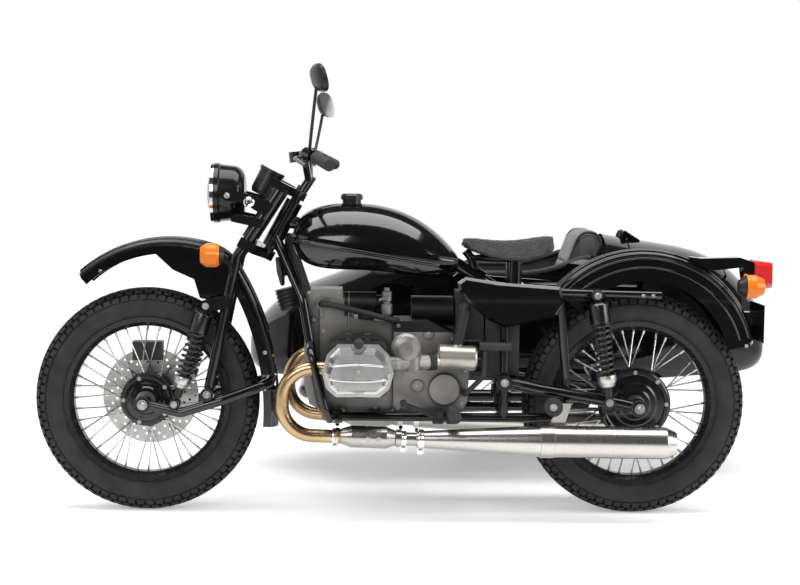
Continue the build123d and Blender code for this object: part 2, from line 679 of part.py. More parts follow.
GEAR_BOSSES = (  # x, z, radius, how far out
    (590, 392, 46, 100),
    (672, 402, 17, 96),
    (640, 560, 14, 94),
)
with BuildPart() as gearbox:
    with BuildSketch(Plane.XZ):
        with BuildLine():
            Polyline((745.7, 600), (745.7, 318), (600, 284), (552, 300), (520, 350), (512, 470), (560, 560),
                     (640, 600), close=True)
        make_face()
    extrude(amount=88, both=True)
    add(rod((519, -104, 430), (600, -104, 430), 28))
    for x, z, radius, reach in GEAR_BOSSES:
        add(rod((x, 80, z), (x, reach, z), radius))
    add(rod((690, -60, 620), (560, -60, 620), 46))
    add(crankcase.part, mode=Mode.SUBTRACT)
write(gearbox, "gearbox")

COVER_EDGE = (  # x and z of the left cover's corners about its middle
    (-104, -8), (-90, 46), (-60, 77), (60, 77), (90, 46), (104, -8), (92, -52), (64, -77), (-64, -77), (-92, -52),
)
COVER_STEPS = (  # inset, from, thickness, lean in degrees
    (0, 0, 10, 0),
    (9, 10, 41, 22),
)
cylinder_bits, cover_bits = [], []
for s, cx in ((1, LEFT_CYL_X), (-1, RIGHT_CYL_X)):
    with BuildPart() as cylinder:
        add(rod((cx, s * (CASE_HALF + SEAT_GAP), CRANK_Z), (cx, s * HEAD_FACE_Y, CRANK_Z), 66))
        for i in range(BARREL_FINS):
            with BuildSketch(side(s * (122 + 13 * i))):
                with Locations((cx, CRANK_Z)):
                    RectangleRounded(178, 166, 34)
            extrude(amount=FIN)
        add(rod((cx, s * 226, CRANK_Z), (cx, s * HEAD_FACE_Y, CRANK_Z), 72))
        for i in range(HEAD_FINS):
            with BuildSketch(side(s * (234 + 14 * i))):
                with Locations((cx, CRANK_Z - 2)):
                    RectangleRounded(172, 158, 22)
            extrude(amount=FIN)
        with BuildSketch(side(s * (HEAD_FACE_Y - 7))):
            with Locations((cx, CRANK_Z)):
                RectangleRounded(184, 140, 40)
        extrude(amount=-7 * s)
        for dx in (-27, 29):
            add(rod((cx + dx, s * (CASE_HALF + SEAT_GAP), 546), (cx + dx, s * 240, 546), 11))
            add(rod((cx + dx, s * (CASE_HALF + SEAT_GAP), 546), (cx + dx, s * 119, 546), 18))
        add(rod((cx + 60, s * HEADER_Y, CRANK_Z - 6), (cx + 92, s * HEADER_Y, CRANK_Z - 6), 27))
        add(rod((cx - 60, s * 250, CRANK_Z + 8), (cx - 106, s * 227, CRANK_Z + 8), 25))
    cylinder_bits.append(cylinder.part)
    with BuildPart() as cover:
        for inset, base, thick, lean in COVER_STEPS:
            with BuildSketch(side(s * (HEAD_FACE_Y + SEAT_GAP + base))):
                with BuildLine():
                    Polyline(*[(cx + x * (1 - inset / 104), 479 + z * (1 - inset / 77)) for x, z in COVER_EDGE],
                             close=True)
                make_face()
            extrude(amount=-thick * s, taper=lean)
        for z in (460, 500):
            add(block(cx - 84, cx + 84, *sorted((s * (HEAD_FACE_Y + 12), s * (COVER_Y - 1))), z - 3, z + 3))
        add(rod((cx - 2, s * (COVER_Y - 20), 480), (cx - 2, s * COVER_Y, 480), 12))
        for z, radius in ((558, 25), (400, 17)):
            add(rod((cx - 2, s * (HEAD_FACE_Y + 6), z), (cx - 2, s * (COVER_Y + 20), z), radius),
                mode=Mode.SUBTRACT)
    cover_bits.append(cover.part)
with BuildPart() as cylinders:
    add(cylinder_bits)
write(cylinders, "cylinders")
with BuildPart() as rocker_covers:
    add(cover_bits)
write(rocker_covers, "rocker_covers")

# Intake: carburettors, elbows, canisters, air box between them
carb_bits, canister_bits = [], []
for s, cx in ((1, LEFT_CYL_X), (-1, RIGHT_CYL_X)):
    back = cx - LEFT_CYL_X
    with BuildPart() as carb:
        add(rod((cx - 106.4, s * 226.8, CRANK_Z + 8), (cx - 208, s * 176, CRANK_Z + 8), 23))
        add(rod((cx - 158, s * 200, 462), (cx - 158, s * 200, 552), 30))
        add(block(cx - 186, cx - 134, *sorted((s * 176, s * 226)), 440, 466))
        add(lathe([(0, 0), (45, 0), (45, 14), (38, 24), (22, 31), (0, 33)], (cx - 142, s * 205, 530), (0, s, 0)))
    carb_bits.append(carb.part)
    with BuildPart() as canister:
        add(tube([(cx - 208.4, s * 175.8, CRANK_Z + 8), (cx - 226, s * 167, CRANK_Z + 8),
                  (600 + back, s * 148, 498)], 26, 12))
        add(lathe([(0, 0), (34, 0), (38, 6), (38, 112), (34, 118), (0, 118)],
                  (614 + back, s * 148, 498), (-1, 0, -0.03)))
        add(tube([(560 + back, s * 148, 510), (530, s * 128, 640), (530, s * 60.3, 640)], 18, 20))
    canister_bits.append(canister.part)
with BuildPart() as carburettors:
    add(carb_bits)
write(carburettors, "carburettors")
with BuildPart() as canisters:
    add(canister_bits)
write(canisters, "intake_canisters")
with BuildPart() as boxes:
    add(block(470, 556, -60, 60, 540, 690))
    for cut in (rod((690, -60, 620), (540, -60, 620), 48), gearbox.part):
        add(cut, mode=Mode.SUBTRACT)
    add(block(362, 466, -84, 84, 436, 640))
    add(block(398, 422, -RAIL_Y + TUBE_R + SEAT_GAP, RAIL_Y - TUBE_R - SEAT_GAP, 560, 600))
write(boxes, "air_and_battery_boxes")

# Exhaust: a header and a silencer on each side
header_bits, muffler_bits = [], []
for s, cx in ((1, LEFT_CYL_X), (-1, RIGHT_CYL_X)):
    run = [(cx + 92.3, s * HEADER_Y, CRANK_Z - 6), (1078, s * HEADER_Y, CRANK_Z - 6), (1078, s * 226, 270),
           (MUFFLER_FRONT - 6, s * MUFFLER_Y, 254)]
    with BuildPart() as header:
        add(tube(run, HEADER_R, 94))
        add(lathe([(0, -22), (25, -22), (25, -8), (21, -8), (33, 26), (33, 132), (22, 160), (26, 160), (26, 176),
                   (0, 176)], (899, s * 214, 265), (-1, -0.06 * s, -0.04)))
    header_bits.append(header.part)
    profile = [(0, 22), (22, 22), (22, 0), (25, 0), (26, 22), (MUFFLER_R - 1, 370), (MUFFLER_R + 2, 371),
               (MUFFLER_R + 2, 411), (MUFFLER_R, 412), (MUFFLER_R, MUFFLER_FRONT - MUFFLER_TAIL),
               (34, MUFFLER_FRONT - MUFFLER_TAIL + 31), (28, MUFFLER_FRONT - MUFFLER_TAIL + 31),
               (28, MUFFLER_FRONT - MUFFLER_TAIL - 20), (0, MUFFLER_FRONT - MUFFLER_TAIL - 20)]
    with BuildPart() as silencer:
        add(lathe(profile, (MUFFLER_FRONT + 4, s * MUFFLER_Y, 254), (-1, 0, -0.008)))
        add(plate([(208, 362), (240, 362), (284, 284), (240, 264)],
                  *sorted((s * (HANGER_Y + SEAT_GAP), s * (HANGER_Y + 8)))))
    muffler_bits.append(silencer.part)
with BuildPart() as headers:
    add(header_bits)
write(headers, "exhaust_headers")
with BuildPart() as mufflers:
    add(muffler_bits)
write(mufflers, "mufflers")

# Fuel tank: one loft of rounded sections, a seam flange, a tunnel over the backbone
TANK_SECTIONS = (  # x, half width, seam z, top z, bottom z
    (1056, 74, 858, 872, 826),
    (1020, 112, 854, 924, 778),
    (900, 136, 838, TANK_TOP, 756),
    (740, 132, 816, 936, 746),
    (630, 106, 800, 878, 734),
    (552, 62, 788, 800, 752),
)
backbone_line = FRAME_TUBES[1][0]
with BuildPart() as tank:
    for x, half, seam, top, low in TANK_SECTIONS:
        with BuildSketch(Plane.YZ.offset(x)):
            with BuildLine():
                ThreePointArc((-half, seam), (0, top), (half, seam))
                ThreePointArc((half, seam), (half * 0.93, (seam + low) / 2 - 8), (half * 0.72, low))
                Line((half * 0.72, low), (-half * 0.72, low))
                ThreePointArc((-half * 0.72, low), (-half * 0.93, (seam + low) / 2 - 8), (-half, seam))
            make_face()
    loft()
    for x, half, seam, top, low in TANK_SECTIONS:
        with BuildSketch(Plane.YZ.offset(x)):
            with Locations((0, seam)):
                Rectangle(2 * half + 14, 7)
    loft()
    add(tube(backbone_line, BACKBONE_R + SEAT_GAP, 80), mode=Mode.SUBTRACT)
    slot = Plane(origin=backbone_line[1], x_dir=(0, 1, 0),
                 z_dir=Vector(*backbone_line[0]) - Vector(*backbone_line[1]))
    with BuildSketch(slot.offset(-60)):
        with Locations((0, -100)):
            Rectangle(2 * (BACKBONE_R + SEAT_GAP), 200)
    extrude(amount=700, mode=Mode.SUBTRACT)
write(tank, "fuel_tank")
with BuildPart() as tank_cap:
    add(lathe([(0, 0), (CAP_R - 5, 0), (CAP_R - 5, 12), (CAP_R, 13), (CAP_R, 25), (CAP_R - 6, 31), (0, 32)],
              (CAP_X, 0, TANK_TOP - 2), (0, 0, 1)))
    add(tank.part, mode=Mode.SUBTRACT)
write(tank_cap, "tank_cap")

# Saddle on its bracket, side panels
SADDLE_SECTIONS = (  # x, half width, top z, edge z, thickness
    (546, 46, 846, 832, 24),
    (470, 92, 842, 808, 28),
    (400, 128, 838, 798, 32),
    (310, 140, 848, 808, 34),
    (246, 112, 856, 830, 28),
)
with BuildPart() as saddle:
    for x, half, top, edge, thick in SADDLE_SECTIONS:
        with BuildSketch(Plane.YZ.offset(x)):
            with BuildLine():
                ThreePointArc((-half, edge), (0, top), (half, edge))
                Line((half, edge), (half, edge - thick * 0.6))
                ThreePointArc((half, edge - thick * 0.6), (0, top - thick), (-half, edge - thick * 0.6))
                Line((-half, edge - thick * 0.6), (-half, edge))
            make_face()
    loft()
write(saddle, "saddle")
seat_spine = Vector(*backbone_line[2]) - Vector(*backbone_line[1])
with BuildPart() as saddle_bracket:
    ring_at = Vector(*backbone_line[1]) + seat_spine * 0.62
    add(rod(tuple(ring_at - seat_spine.normalized() * 14), tuple(ring_at + seat_spine.normalized() * 14),
            BACKBONE_R + 7))
    add(tube([(526, 0, 812), (508, 0, 790), tuple(ring_at)], 13, 12))
    for s in (-1, 1):
        add(rod((376, s * 60, 712), (376, s * 60, 812), 20))
        add(block(352, 392, *sorted((s * 34, s * (RAIL_Y + 8))), 706.3, 718))
        add(tube([(508, 0, 790), (440, s * 56, 790), (376, s * 60, 790), (300, s * 80, 800)], 9, 20))
    add(saddle.part, mode=Mode.SUBTRACT)
    add(tube(backbone_line, BACKBONE_R + SEAT_GAP, 80), mode=Mode.SUBTRACT)
    for flipped in (FRAME_TUBES[3][0], flip(FRAME_TUBES[3][0])):
        add(tube(flipped, SUB_R + SEAT_GAP, 40), mode=Mode.SUBTRACT)
write(saddle_bracket, "saddle_bracket")

with BuildPart() as side_panels:
    with BuildSketch(side(RAIL_Y + 34)):
        with BuildLine():
            Polyline((246, 712), (430, 724), (532, 740), (556, 722), (552, 698), (520, 660), (466, 612), (412, 588),
                     (330, 604), (256, 626), (234, 668), close=True)
        make_face()
    extrude(amount=20)
    chamfer(side_panels.faces().sort_by(Axis.Y)[-1].edges(), 8)
    for x, z in ((282, 694), (430, 694)):
        add(rod((x, RAIL_Y + 4, z), (x, RAIL_Y + 16, z), 9))
    mirror(about=Plane.XZ)
    for points, radius, bend, both in FRAME_TUBES[3:4]:
        add(tube(points, radius + SEAT_GAP, bend), mode=Mode.SUBTRACT)
        add(tube(flip(points), radius + SEAT_GAP, bend), mode=Mode.SUBTRACT)
write(side_panels, "side_panels")

# Rear fender, tail lamp on its bracket, rear blinkers, plate bracket
rear_arc = fender_arc(REAR_FENDER_R, REAR_FENDER_FROM, REAR_FENDER_TO, REAR_FENDER_HALF, REAR_FENDER_CROWN,
                      REAR_FENDER_DEPTH)
with BuildPart() as rear_fender:
    add(rear_arc.moved(Location((REAR_FENDER_X, 0, REAR_FENDER_Z))))
    for s in (-1, 1):
        for x, top in ((-40, 742), (176, 700)):
            ends = sorted((s * (REAR_FENDER_HALF - 2), s * (RAIL_Y - SUB_R + 4)))
            add(block(x - 20, x + 20, *ends, 684, 698))
            ends = sorted((s * (REAR_FENDER_HALF - 2), s * (REAR_FENDER_HALF + 4)))
            add(block(x - 20, x + 20, *ends, 684, top))
    for points, radius, bend, both in FRAME_TUBES[3:4]:
        add(tube(points, radius + SEAT_GAP, bend), mode=Mode.SUBTRACT)
        add(tube(flip(points), radius + SEAT_GAP, bend), mode=Mode.SUBTRACT)
write(rear_fender, "rear_fender")

with BuildPart() as fender_room:
    with Locations(Location((REAR_FENDER_X, 0, REAR_FENDER_Z), (90, 0, 0))):
        Cylinder(REAR_FENDER_R + SEAT_GAP, 300)
with BuildPart() as tail_bracket:
    add(plate([(-168, 800), (-200, 796), (-320, 800), (-364.5, 786), (-364.5, 700), (-340, 704), (-330, 770),
               (-250, 760), (-190, 764)], -34, 34))
    add(fender_room.part, mode=Mode.SUBTRACT)
write(tail_bracket, "tail_bracket")
with BuildPart() as tail_lens:
    with BuildSketch(Plane(origin=(-364.5 - SEAT_GAP, 0, 745), x_dir=(0, -1, 0), z_dir=(-1, 0, 0))):
        RectangleRounded(88, 94, 26)
    extrude(amount=56, taper=7)
write(tail_lens, "tail_lens")
with BuildPart() as plate_bracket:
    add(block(PLATE_X - 2, PLATE_X + 2, -PLATE_W / 2, PLATE_W / 2, PLATE_Z - PLATE_H / 2, PLATE_Z + PLATE_H / 2))
    add(block(PLATE_X, -330, -20, 20, PLATE_Z - 10, PLATE_Z + 30))
    with Locations(Location((PLATE_X, -PLATE_HOLES / 2, PLATE_Z + 30), (0, 90, 0)),
                   Location((PLATE_X, PLATE_HOLES / 2, PLATE_Z + 30), (0, 90, 0))):
        Cylinder(PLATE_HOLE_R, 40, mode=Mode.SUBTRACT)
    add(fender_room.part, mode=Mode.SUBTRACT)
write(plate_bracket, "plate_bracket")

# Rear suspension, final drive, axle
swing_bits = []
for s in (-1, 1):
    arm = [(PIVOT_X, s * SWING_Y * 0.98, PIVOT_Z), (300, s * SWING_Y, 398), (93, s * SWING_Y, 364), (0, s * SWING_Y, TYRE_R)]
    swing_bits.append(tube(arm, SWING_R, 40))
    swing_bits.append(rod((0, s * (SWING_Y - 16), TYRE_R), (0, s * (SWING_Y + 18), TYRE_R), 26))
    swing_bits.append(rod((93, s * SWING_Y, 364), (93, s * (REAR_SHOCK_Y - 11 - SEAT_GAP), 364), 14))
with BuildPart() as swingarm:
    add(swing_bits)
    add(rod((374, -SWING_Y, 413), (374, SWING_Y, 413), 14))
    add(block(388, 432, -150, 150, 380, 460), mode=Mode.SUBTRACT)
    add(rod((PIVOT_X, -RAIL_Y - 30, PIVOT_Z), (PIVOT_X, RAIL_Y + 30, PIVOT_Z), 11))
    for s in (-1, 1):
        add(rod((PIVOT_X, s * (RAIL_Y + 14 + SEAT_GAP), PIVOT_Z), (PIVOT_X, s * (RAIL_Y + 36), PIVOT_Z), 24))
        add(rod((PIVOT_X, s * (RAIL_Y + 30), PIVOT_Z), (330, s * SWING_Y, 404), 9))
    add(rod((0, -SWING_Y - 32, TYRE_R), (0, SWING_Y + 32, TYRE_R), AXLE_R))
    for s in (-1, 1):
        add(rod((0, s * SWING_Y, TYRE_R), (0, s * (SWING_Y + 30), TYRE_R), 16))
write(swingarm, "swingarm")
write(spring_pair(REAR_SHOCK_TOP, REAR_SHOCK_LOW, REAR_SHOCK_Y, 31, 29), "rear_shocks")
with BuildPart() as final_drive:
    add(lathe([(AXLE_R + AXLE_PLAY, 0), (60, 0), (86, 12), (86, 30), (40, 36), (AXLE_R + AXLE_PLAY, 36)],
              (0, -76, TYRE_R), (0, -1, 0)))
    add(rod((60, -98, 357), (130, -98, 370), 30))
    add(rod((100, -98, 364), (515, -104, 430), 16))
    add(tube([(PIVOT_X, -SWING_Y * 0.98, PIVOT_Z), (300, -SWING_Y, 398), (93, -SWING_Y, 364),
              (0, -SWING_Y, TYRE_R)], SWING_R + SEAT_GAP, 40), mode=Mode.SUBTRACT)
    add(rod((374, -SWING_Y, 413), (374, SWING_Y, 413), 14 + SEAT_GAP), mode=Mode.SUBTRACT)
    add(swingarm.part, mode=Mode.SUBTRACT)
    add(frame.part, mode=Mode.SUBTRACT)
write(final_drive, "final_drive")

# Foot pegs and pedals, leg guards
peg_bits = []
for s in (-1, 1):
    peg_bits.append(rod((568, s * (RAIL_Y + 4), RAIL_Z + 8), (568, s * 200, 338), 12))
    peg_bits.append(rod((568, s * 198, 340), (568, s * 330, 340), 19))
    peg_bits.append(tube([(610, s * (RAIL_Y + 4), RAIL_Z), (650, s * 158, 330), (720, s * 168, 356)], 8, 20))
    peg_bits.append(rod((716, s * 160, 358), (716, s * 216, 362), 11))
    for px in (568, 610):
        peg_bits.append(rod((px - 16, s * RAIL_Y, RAIL_Z), (px + 16, s * RAIL_Y, RAIL_Z), TUBE_R + 7))
peg_bits.append(tube([(530, 88 + SEAT_GAP, 384), (530, 150, 384), (474, 152, 440), (472, 152, 531)], 8, 14))
peg_bits.append(rod((488, 156, 531), (393, 156, 531), 13))
with BuildPart() as foot_controls:
    add(peg_bits)
    for s in (-1, 1):
        add(rod((200, s * RAIL_Y, RAIL_Z), (1000, s * RAIL_Y, RAIL_Z), TUBE_R + SEAT_GAP), mode=Mode.SUBTRACT)
write(foot_controls, "foot_controls")
GUARD = [(1000, 112, 530), (994, 285, 528), (940, 285, 322), (920, 124, RAIL_Z)]
down_left = FRAME_TUBES[2][0]
guard_bar = tube(GUARD, 11, 40)
with BuildPart() as leg_guard:
    add(guard_bar)
    add(rod((900, RAIL_Y, RAIL_Z), (930, RAIL_Y, RAIL_Z), TUBE_R + 7))
    add(tube(down_left, TUBE_R + SEAT_GAP, 56), mode=Mode.SUBTRACT)
    add(crankcase.part, mode=Mode.SUBTRACT)
write(leg_guard, "leg_guard")

# Sidecar tub: outer skin less inner skin, cockpit cut open, boot lid cut free
TUB_SECTIONS = (  # x, half width, bottom z, top z
    (1232, 46, 402, 476),
    (1196, 128, 368, 540),
    (1100, 212, 352, 622),
    (960, 256, 350, 684),
    (760, 280, 350, 772),
    (400, 286, 350, 866),
    (10, 284, 352, 838),
    (-200, 270, 360, 806),
    (-400, 240, 374, 744),
    (-498, 206, 392, 650),
    (TUB_TAIL, 150, 430, 540),
)


def hull(inset):
    """The tub's skin as a solid, drawn in from every side by inset."""
    with BuildPart() as body:
        for x, half, low, top in TUB_SECTIONS:
            ends = {TUB_SECTIONS[0][0]: -inset, TUB_SECTIONS[-1][0]: inset}
            w, b, t = half - inset, low + inset, top - inset
            h = t - b
            with BuildSketch(Plane(origin=(x + ends.get(x, 0), TUB_Y, 0), x_dir=(0, 1, 0), z_dir=(1, 0, 0))):
                with BuildLine():
                    Line((-0.8 * w, b), (0.8 * w, b))
                    ThreePointArc((0.8 * w, b), (0.95 * w, b + 0.11 * h), (w, b + 0.3 * h))
                    Line((w, b + 0.3 * h), (0.97 * w, b + 0.78 * h))
                    ThreePointArc((0.97 * w, b + 0.78 * h), (0, t), (-0.97 * w, b + 0.78 * h))
                    Line((-0.97 * w, b + 0.78 * h), (-w, b + 0.3 * h))
                    ThreePointArc((-w, b + 0.3 * h), (-0.95 * w, b + 0.11 * h), (-0.8 * w, b))
                make_face()
        loft()
    return body.part


outer_hull = hull(0)
inner_hull = hull(TUB_WALL)
with BuildPart() as cockpit_room:
    with BuildSketch(side(TUB_Y + 340)):
        with BuildLine():
            Line((1000, RIM_Z), (300, RIM_Z))
            ThreePointArc((300, RIM_Z), (158, 747), (PEAK_X, PEAK_Z))
            Polyline((PEAK_X, PEAK_Z), (PEAK_X, 1000), (1000, 1000), (1000, RIM_Z))
        make_face()
    extrude(amount=680)
    with BuildSketch(Plane.XY.offset(560)):
        with Locations(((PEAK_X + 2 + COCKPIT_FRONT) / 2, TUB_Y)):
            RectangleRounded(COCKPIT_FRONT - PEAK_X - 2, 2 * COCKPIT_HALF, 24)
    extrude(amount=440)


def lid_zone(grow):
    """The upright prism over the boot lid, larger by grow on each side."""
    with BuildPart() as zone:
        with BuildSketch(Plane.XY.offset(620)):
            with Locations(((LID_FRONT + LID_REAR) / 2, TUB_Y)):
                RectangleRounded(LID_FRONT - LID_REAR + 2 * grow, 2 * (LID_HALF + grow), 50)
        extrude(amount=400)
    return zone.part


LID_PIN_X, LID_PIN_Z = LID_FRONT + 4, 842
HINGE_Y = (TUB_Y - 46, TUB_Y + 46)
posts = []
for y in HINGE_Y:
    for dy in (-20, 20):
        posts.append(plate([(LID_PIN_X - 3, 812), (LID_PIN_X + 22, 812), (LID_PIN_X + 8, LID_PIN_Z + 5),
                            (LID_PIN_X - 3, LID_PIN_Z + 7)], y + dy - 4, y + dy + 4))
    posts.append(rod((LID_PIN_X, y - 24, LID_PIN_Z), (LID_PIN_X, y + 24, LID_PIN_Z), 5))
with BuildPart() as tub:
    add(outer_hull)
    add(inner_hull, mode=Mode.SUBTRACT)
    add(cockpit_room.part, mode=Mode.SUBTRACT)
    add(lid_zone(LID_GAP), mode=Mode.SUBTRACT)
    add(posts)
with BuildPart() as bulkhead:
    add(inner_hull)
    add(block(-20, -16, TUB_Y - 400, TUB_Y + 400, 300, 900), mode=Mode.INTERSECT)
with BuildPart() as sidecar_tub:
    add(tub.part)
    add(bulkhead.part)
write(sidecar_tub, "sidecar_tub")

lid_arms = []
for y in HINGE_Y:
    lid_arms.append(rod((LID_PIN_X, y - 9, LID_PIN_Z), (LID_PIN_X, y + 9, LID_PIN_Z), 9))
    lid_arms.append(plate([(LID_PIN_X - 4, LID_PIN_Z + 7), (LID_PIN_X - 4, LID_PIN_Z - 7), (-80, 818), (-116, 811),
                           (-118, 819)], y - 9, y + 9))
with BuildPart() as boot_lid:
    add(outer_hull)
    add(inner_hull, mode=Mode.SUBTRACT)
    add(lid_zone(0), mode=Mode.INTERSECT)
    add(lid_arms)
    for y in HINGE_Y:
        add(rod((LID_PIN_X, y - 30, LID_PIN_Z), (LID_PIN_X, y + 30, LID_PIN_Z), 5.05), mode=Mode.SUBTRACT)
write(boot_lid, "boot_lid")

with BuildPart() as sidecar_seat:
    add(block(70, 470, TUB_Y - 225, TUB_Y + 225, TUB_FLOOR + TUB_WALL + 3, 500))
    add(inner_hull, mode=Mode.INTERSECT)
    fillet(sidecar_seat.edges().group_by(Axis.Z)[-1], 18)
write(sidecar_seat, "sidecar_seat")
with BuildPart() as sidecar_backrest:
    add(plate([(236, 500.3), (112, 860), (62, 872), (18, 850), (20, 500.3)], TUB_Y - 208, TUB_Y + 208))
    fillet(sidecar_backrest.edges().group_by(Axis.Z)[-1], 14)
write(sidecar_backrest, "sidecar_backrest")

# Sidecar chassis, struts to the bike, trailing arm, spring leg, axle, fender, lamp
SIDE_TUBES = (  # points, radius, bend
    ([(300, SIDE_LEFT_Y, SIDE_RAIL_Z), (SIDE_FRONT_X, SIDE_LEFT_Y, SIDE_RAIL_Z),
      (SIDE_FRONT_X, SIDE_RIGHT_Y, SIDE_RAIL_Z), (300, SIDE_RIGHT_Y, SIDE_RAIL_Z)], SIDE_TUBE_R, 90),
    ([(300, SIDE_LEFT_Y, SIDE_RAIL_Z), (SIDE_REAR_X, SIDE_LEFT_Y, SIDE_RAIL_Z),
      (SIDE_REAR_X, SIDE_RIGHT_Y, SIDE_RAIL_Z), (300, SIDE_RIGHT_Y, SIDE_RAIL_Z)], SIDE_TUBE_R, 90),
    ([(780, SIDE_LEFT_Y, SIDE_RAIL_Z), (780, SIDE_RIGHT_Y, SIDE_RAIL_Z)], 15, 0),
    ([(20, SIDE_LEFT_Y, SIDE_RAIL_Z), (20, SIDE_RIGHT_Y, SIDE_RAIL_Z)], 15, 0),
    ([(560, SIDE_RIGHT_Y, SIDE_RAIL_Z), (560, SIDE_RIGHT_Y - 80, SIDE_RAIL_Z)], 12, 0),
    ([(215, SIDE_RIGHT_Y, SIDE_RAIL_Z), (215, TOWER_Y, 370), (215, TOWER_Y, 656)], 10, 30),
    ([(215, TOWER_Y, 640), (215, ARM_Y + 11 + SEAT_GAP, 640)], 14, 0),
)
side_bits = [tube(points, radius, bend) for points, radius, bend in SIDE_TUBES]
for x in (780, 20):
    for dy in (-160, 160):
        side_bits.append(rod((x, TUB_Y + dy, SIDE_RAIL_Z), (x, TUB_Y + dy, TUB_FLOOR + 10), 20))
with BuildPart() as sidecar_frame:
    add(side_bits)
    add(outer_hull, mode=Mode.SUBTRACT)
write(sidecar_frame, "sidecar_frame")

STRUTS = (  # bike point, direction of the bike tube, bike tube radius, sidecar point
    ((1050, -73, 717.7), (88, 78, 185), TUBE_R, (925, SIDE_LEFT_Y, SIDE_RAIL_Z)),
    ((690, -RAIL_Y, RAIL_Z), (1, 0, 0), TUBE_R, (690, SIDE_LEFT_Y, SIDE_RAIL_Z)),
    ((PIVOT_X, -RAIL_Y, 366), (0, 0, 1), TUBE_R, (360, SIDE_LEFT_Y, SIDE_RAIL_Z)),
    ((231, -103, 560), (26, -22, 260), TUBE_R, (150, SIDE_LEFT_Y, SIDE_RAIL_Z)),
)
strut_bits = []
for bike, along, radius, car in STRUTS:
    run = Vector(*along).normalized()
    at = Vector(*bike)
    with BuildPart() as strut:
        add(rod(bike, car, 14))
        add(rod(tuple(at - run * 16), tuple(at + run * 16), radius + 8))
        add(rod((car[0] - 18, car[1], car[2]), (car[0] + 18, car[1], car[2]), SIDE_TUBE_R + 8))
        add(rod(tuple(at - run * 60), tuple(at + run * 60), radius + SEAT_GAP), mode=Mode.SUBTRACT)
        add(rod((car[0] - 60, car[1], car[2]), (car[0] + 60, car[1], car[2]), SIDE_TUBE_R + SEAT_GAP),
            mode=Mode.SUBTRACT)
    strut_bits.append(strut.part)
with BuildPart() as sidecar_struts:
    add(strut_bits)
    add(frame.part, mode=Mode.SUBTRACT)
write(sidecar_struts, "sidecar_struts")

with BuildPart() as sidecar_arm:
    add(rod((560, ARM_Y, SIDE_RAIL_Z), (SIDECAR_LEAD, ARM_Y, TYRE_R), 16))
    add(rod((560, ARM_Y - 16, SIDE_RAIL_Z), (560, ARM_Y + 16, SIDE_RAIL_Z), 24))
    add(rod((SIDECAR_LEAD, ARM_Y - 16, TYRE_R), (SIDECAR_LEAD, ARM_Y + 16, TYRE_R), 25))
    add(block(304, 326, ARM_Y - 11, ARM_Y + 11, 340, 366.7))
    with Locations(Location((560, ARM_Y, SIDE_RAIL_Z), (90, 0, 0))):
        Cylinder(12 + SEAT_GAP, 200, mode=Mode.SUBTRACT)
    add(rod((SIDECAR_LEAD, ARM_Y + 28, TYRE_R), (SIDECAR_LEAD, RIGHT_END + 4, TYRE_R), AXLE_R))
    add(rod((SIDECAR_LEAD, -SIDECAR_TRACK - 76, TYRE_R), (SIDECAR_LEAD, RIGHT_END, TYRE_R), 20))
write(sidecar_arm, "sidecar_arm")
with BuildPart() as sidecar_shock:
    add(spring_leg((215, 640), (315, 384), ARM_Y, 27, 25))
write(sidecar_shock, "sidecar_shock")
side_arc = fender_arc(SIDECAR_FENDER_R, 8, 172, SIDECAR_FENDER_HALF, 22, 66)
STAYS = ((470, 590), (110, 600))
with BuildPart() as sidecar_fender:
    add(side_arc.moved(Location((SIDECAR_LEAD, -SIDECAR_TRACK, TYRE_R + 6))))
    for x, z in STAYS:
        add(tube([(x, SIDE_RIGHT_Y - 12, SIDE_RAIL_Z), (x, -1030, 350), (x, -1030, z), (x, -1072, z + 40)], 8, 24))
        add(rod((x - 12, SIDE_RIGHT_Y, SIDE_RAIL_Z), (x + 12, SIDE_RIGHT_Y, SIDE_RAIL_Z), SIDE_TUBE_R + 6))
    add(rod((0, SIDE_RIGHT_Y, SIDE_RAIL_Z), (700, SIDE_RIGHT_Y, SIDE_RAIL_Z), SIDE_TUBE_R + SEAT_GAP),
        mode=Mode.SUBTRACT)
write(sidecar_fender, "sidecar_fender")

# Rear blinkers: the left one on the tail bracket, the right front and rear ones on the sidecar's fender
rx, ry, rz = REAR_BLINKER
BLINKER_SHAPE = [(0, -36), (20, -34), (BLINKER_R - 2, -14), (BLINKER_R, -12), (BLINKER_R, 16), (24, 42), (0, 44)]
with BuildPart() as rear_blinkers:
    add(lathe(BLINKER_SHAPE, (rx, ry, rz), (-1, 0, 0)))
    add(tube([(rx + 12, ry, rz), (rx + 4, ry - 40, rz + 30), (rx - 14, 34.3, 740)], 7, 14))
    add(block(-420, -280, -34.3, 34.3, 690, 810), mode=Mode.SUBTRACT)
    for ahead in (-1, 1):
        lean = radians(ahead * SIDECAR_LAMP_LEAN)
        out = Vector(sin(lean), 0, cos(lean))
        foot = Vector(SIDECAR_LEAD, -SIDECAR_TRACK, TYRE_R + 6) + out * (SIDECAR_FENDER_R - 0.5)
        at = foot + out * SIDECAR_LAMP_STEM
        add(lathe(BLINKER_SHAPE, tuple(at), (ahead, 0, 0)))
        add(rod(tuple(at), tuple(foot), 9))
    add(sidecar_fender.part, mode=Mode.SUBTRACT)
write(rear_blinkers, "rear_blinkers")
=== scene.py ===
# %% [markdown]
# # A sidecar motorcycle, dressed in Blender
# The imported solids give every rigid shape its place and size. This lesson paints them, lights them like a
# studio photograph, and adds the pieces that solids do badly: tyre tread, coil springs, leather and cushions.
# Everything is in metres, with +X forward, +Y to the rider's left and +Z up.

# %% load the frame
import json

import bpy
import numpy as np
from mathutils import Matrix, Vector


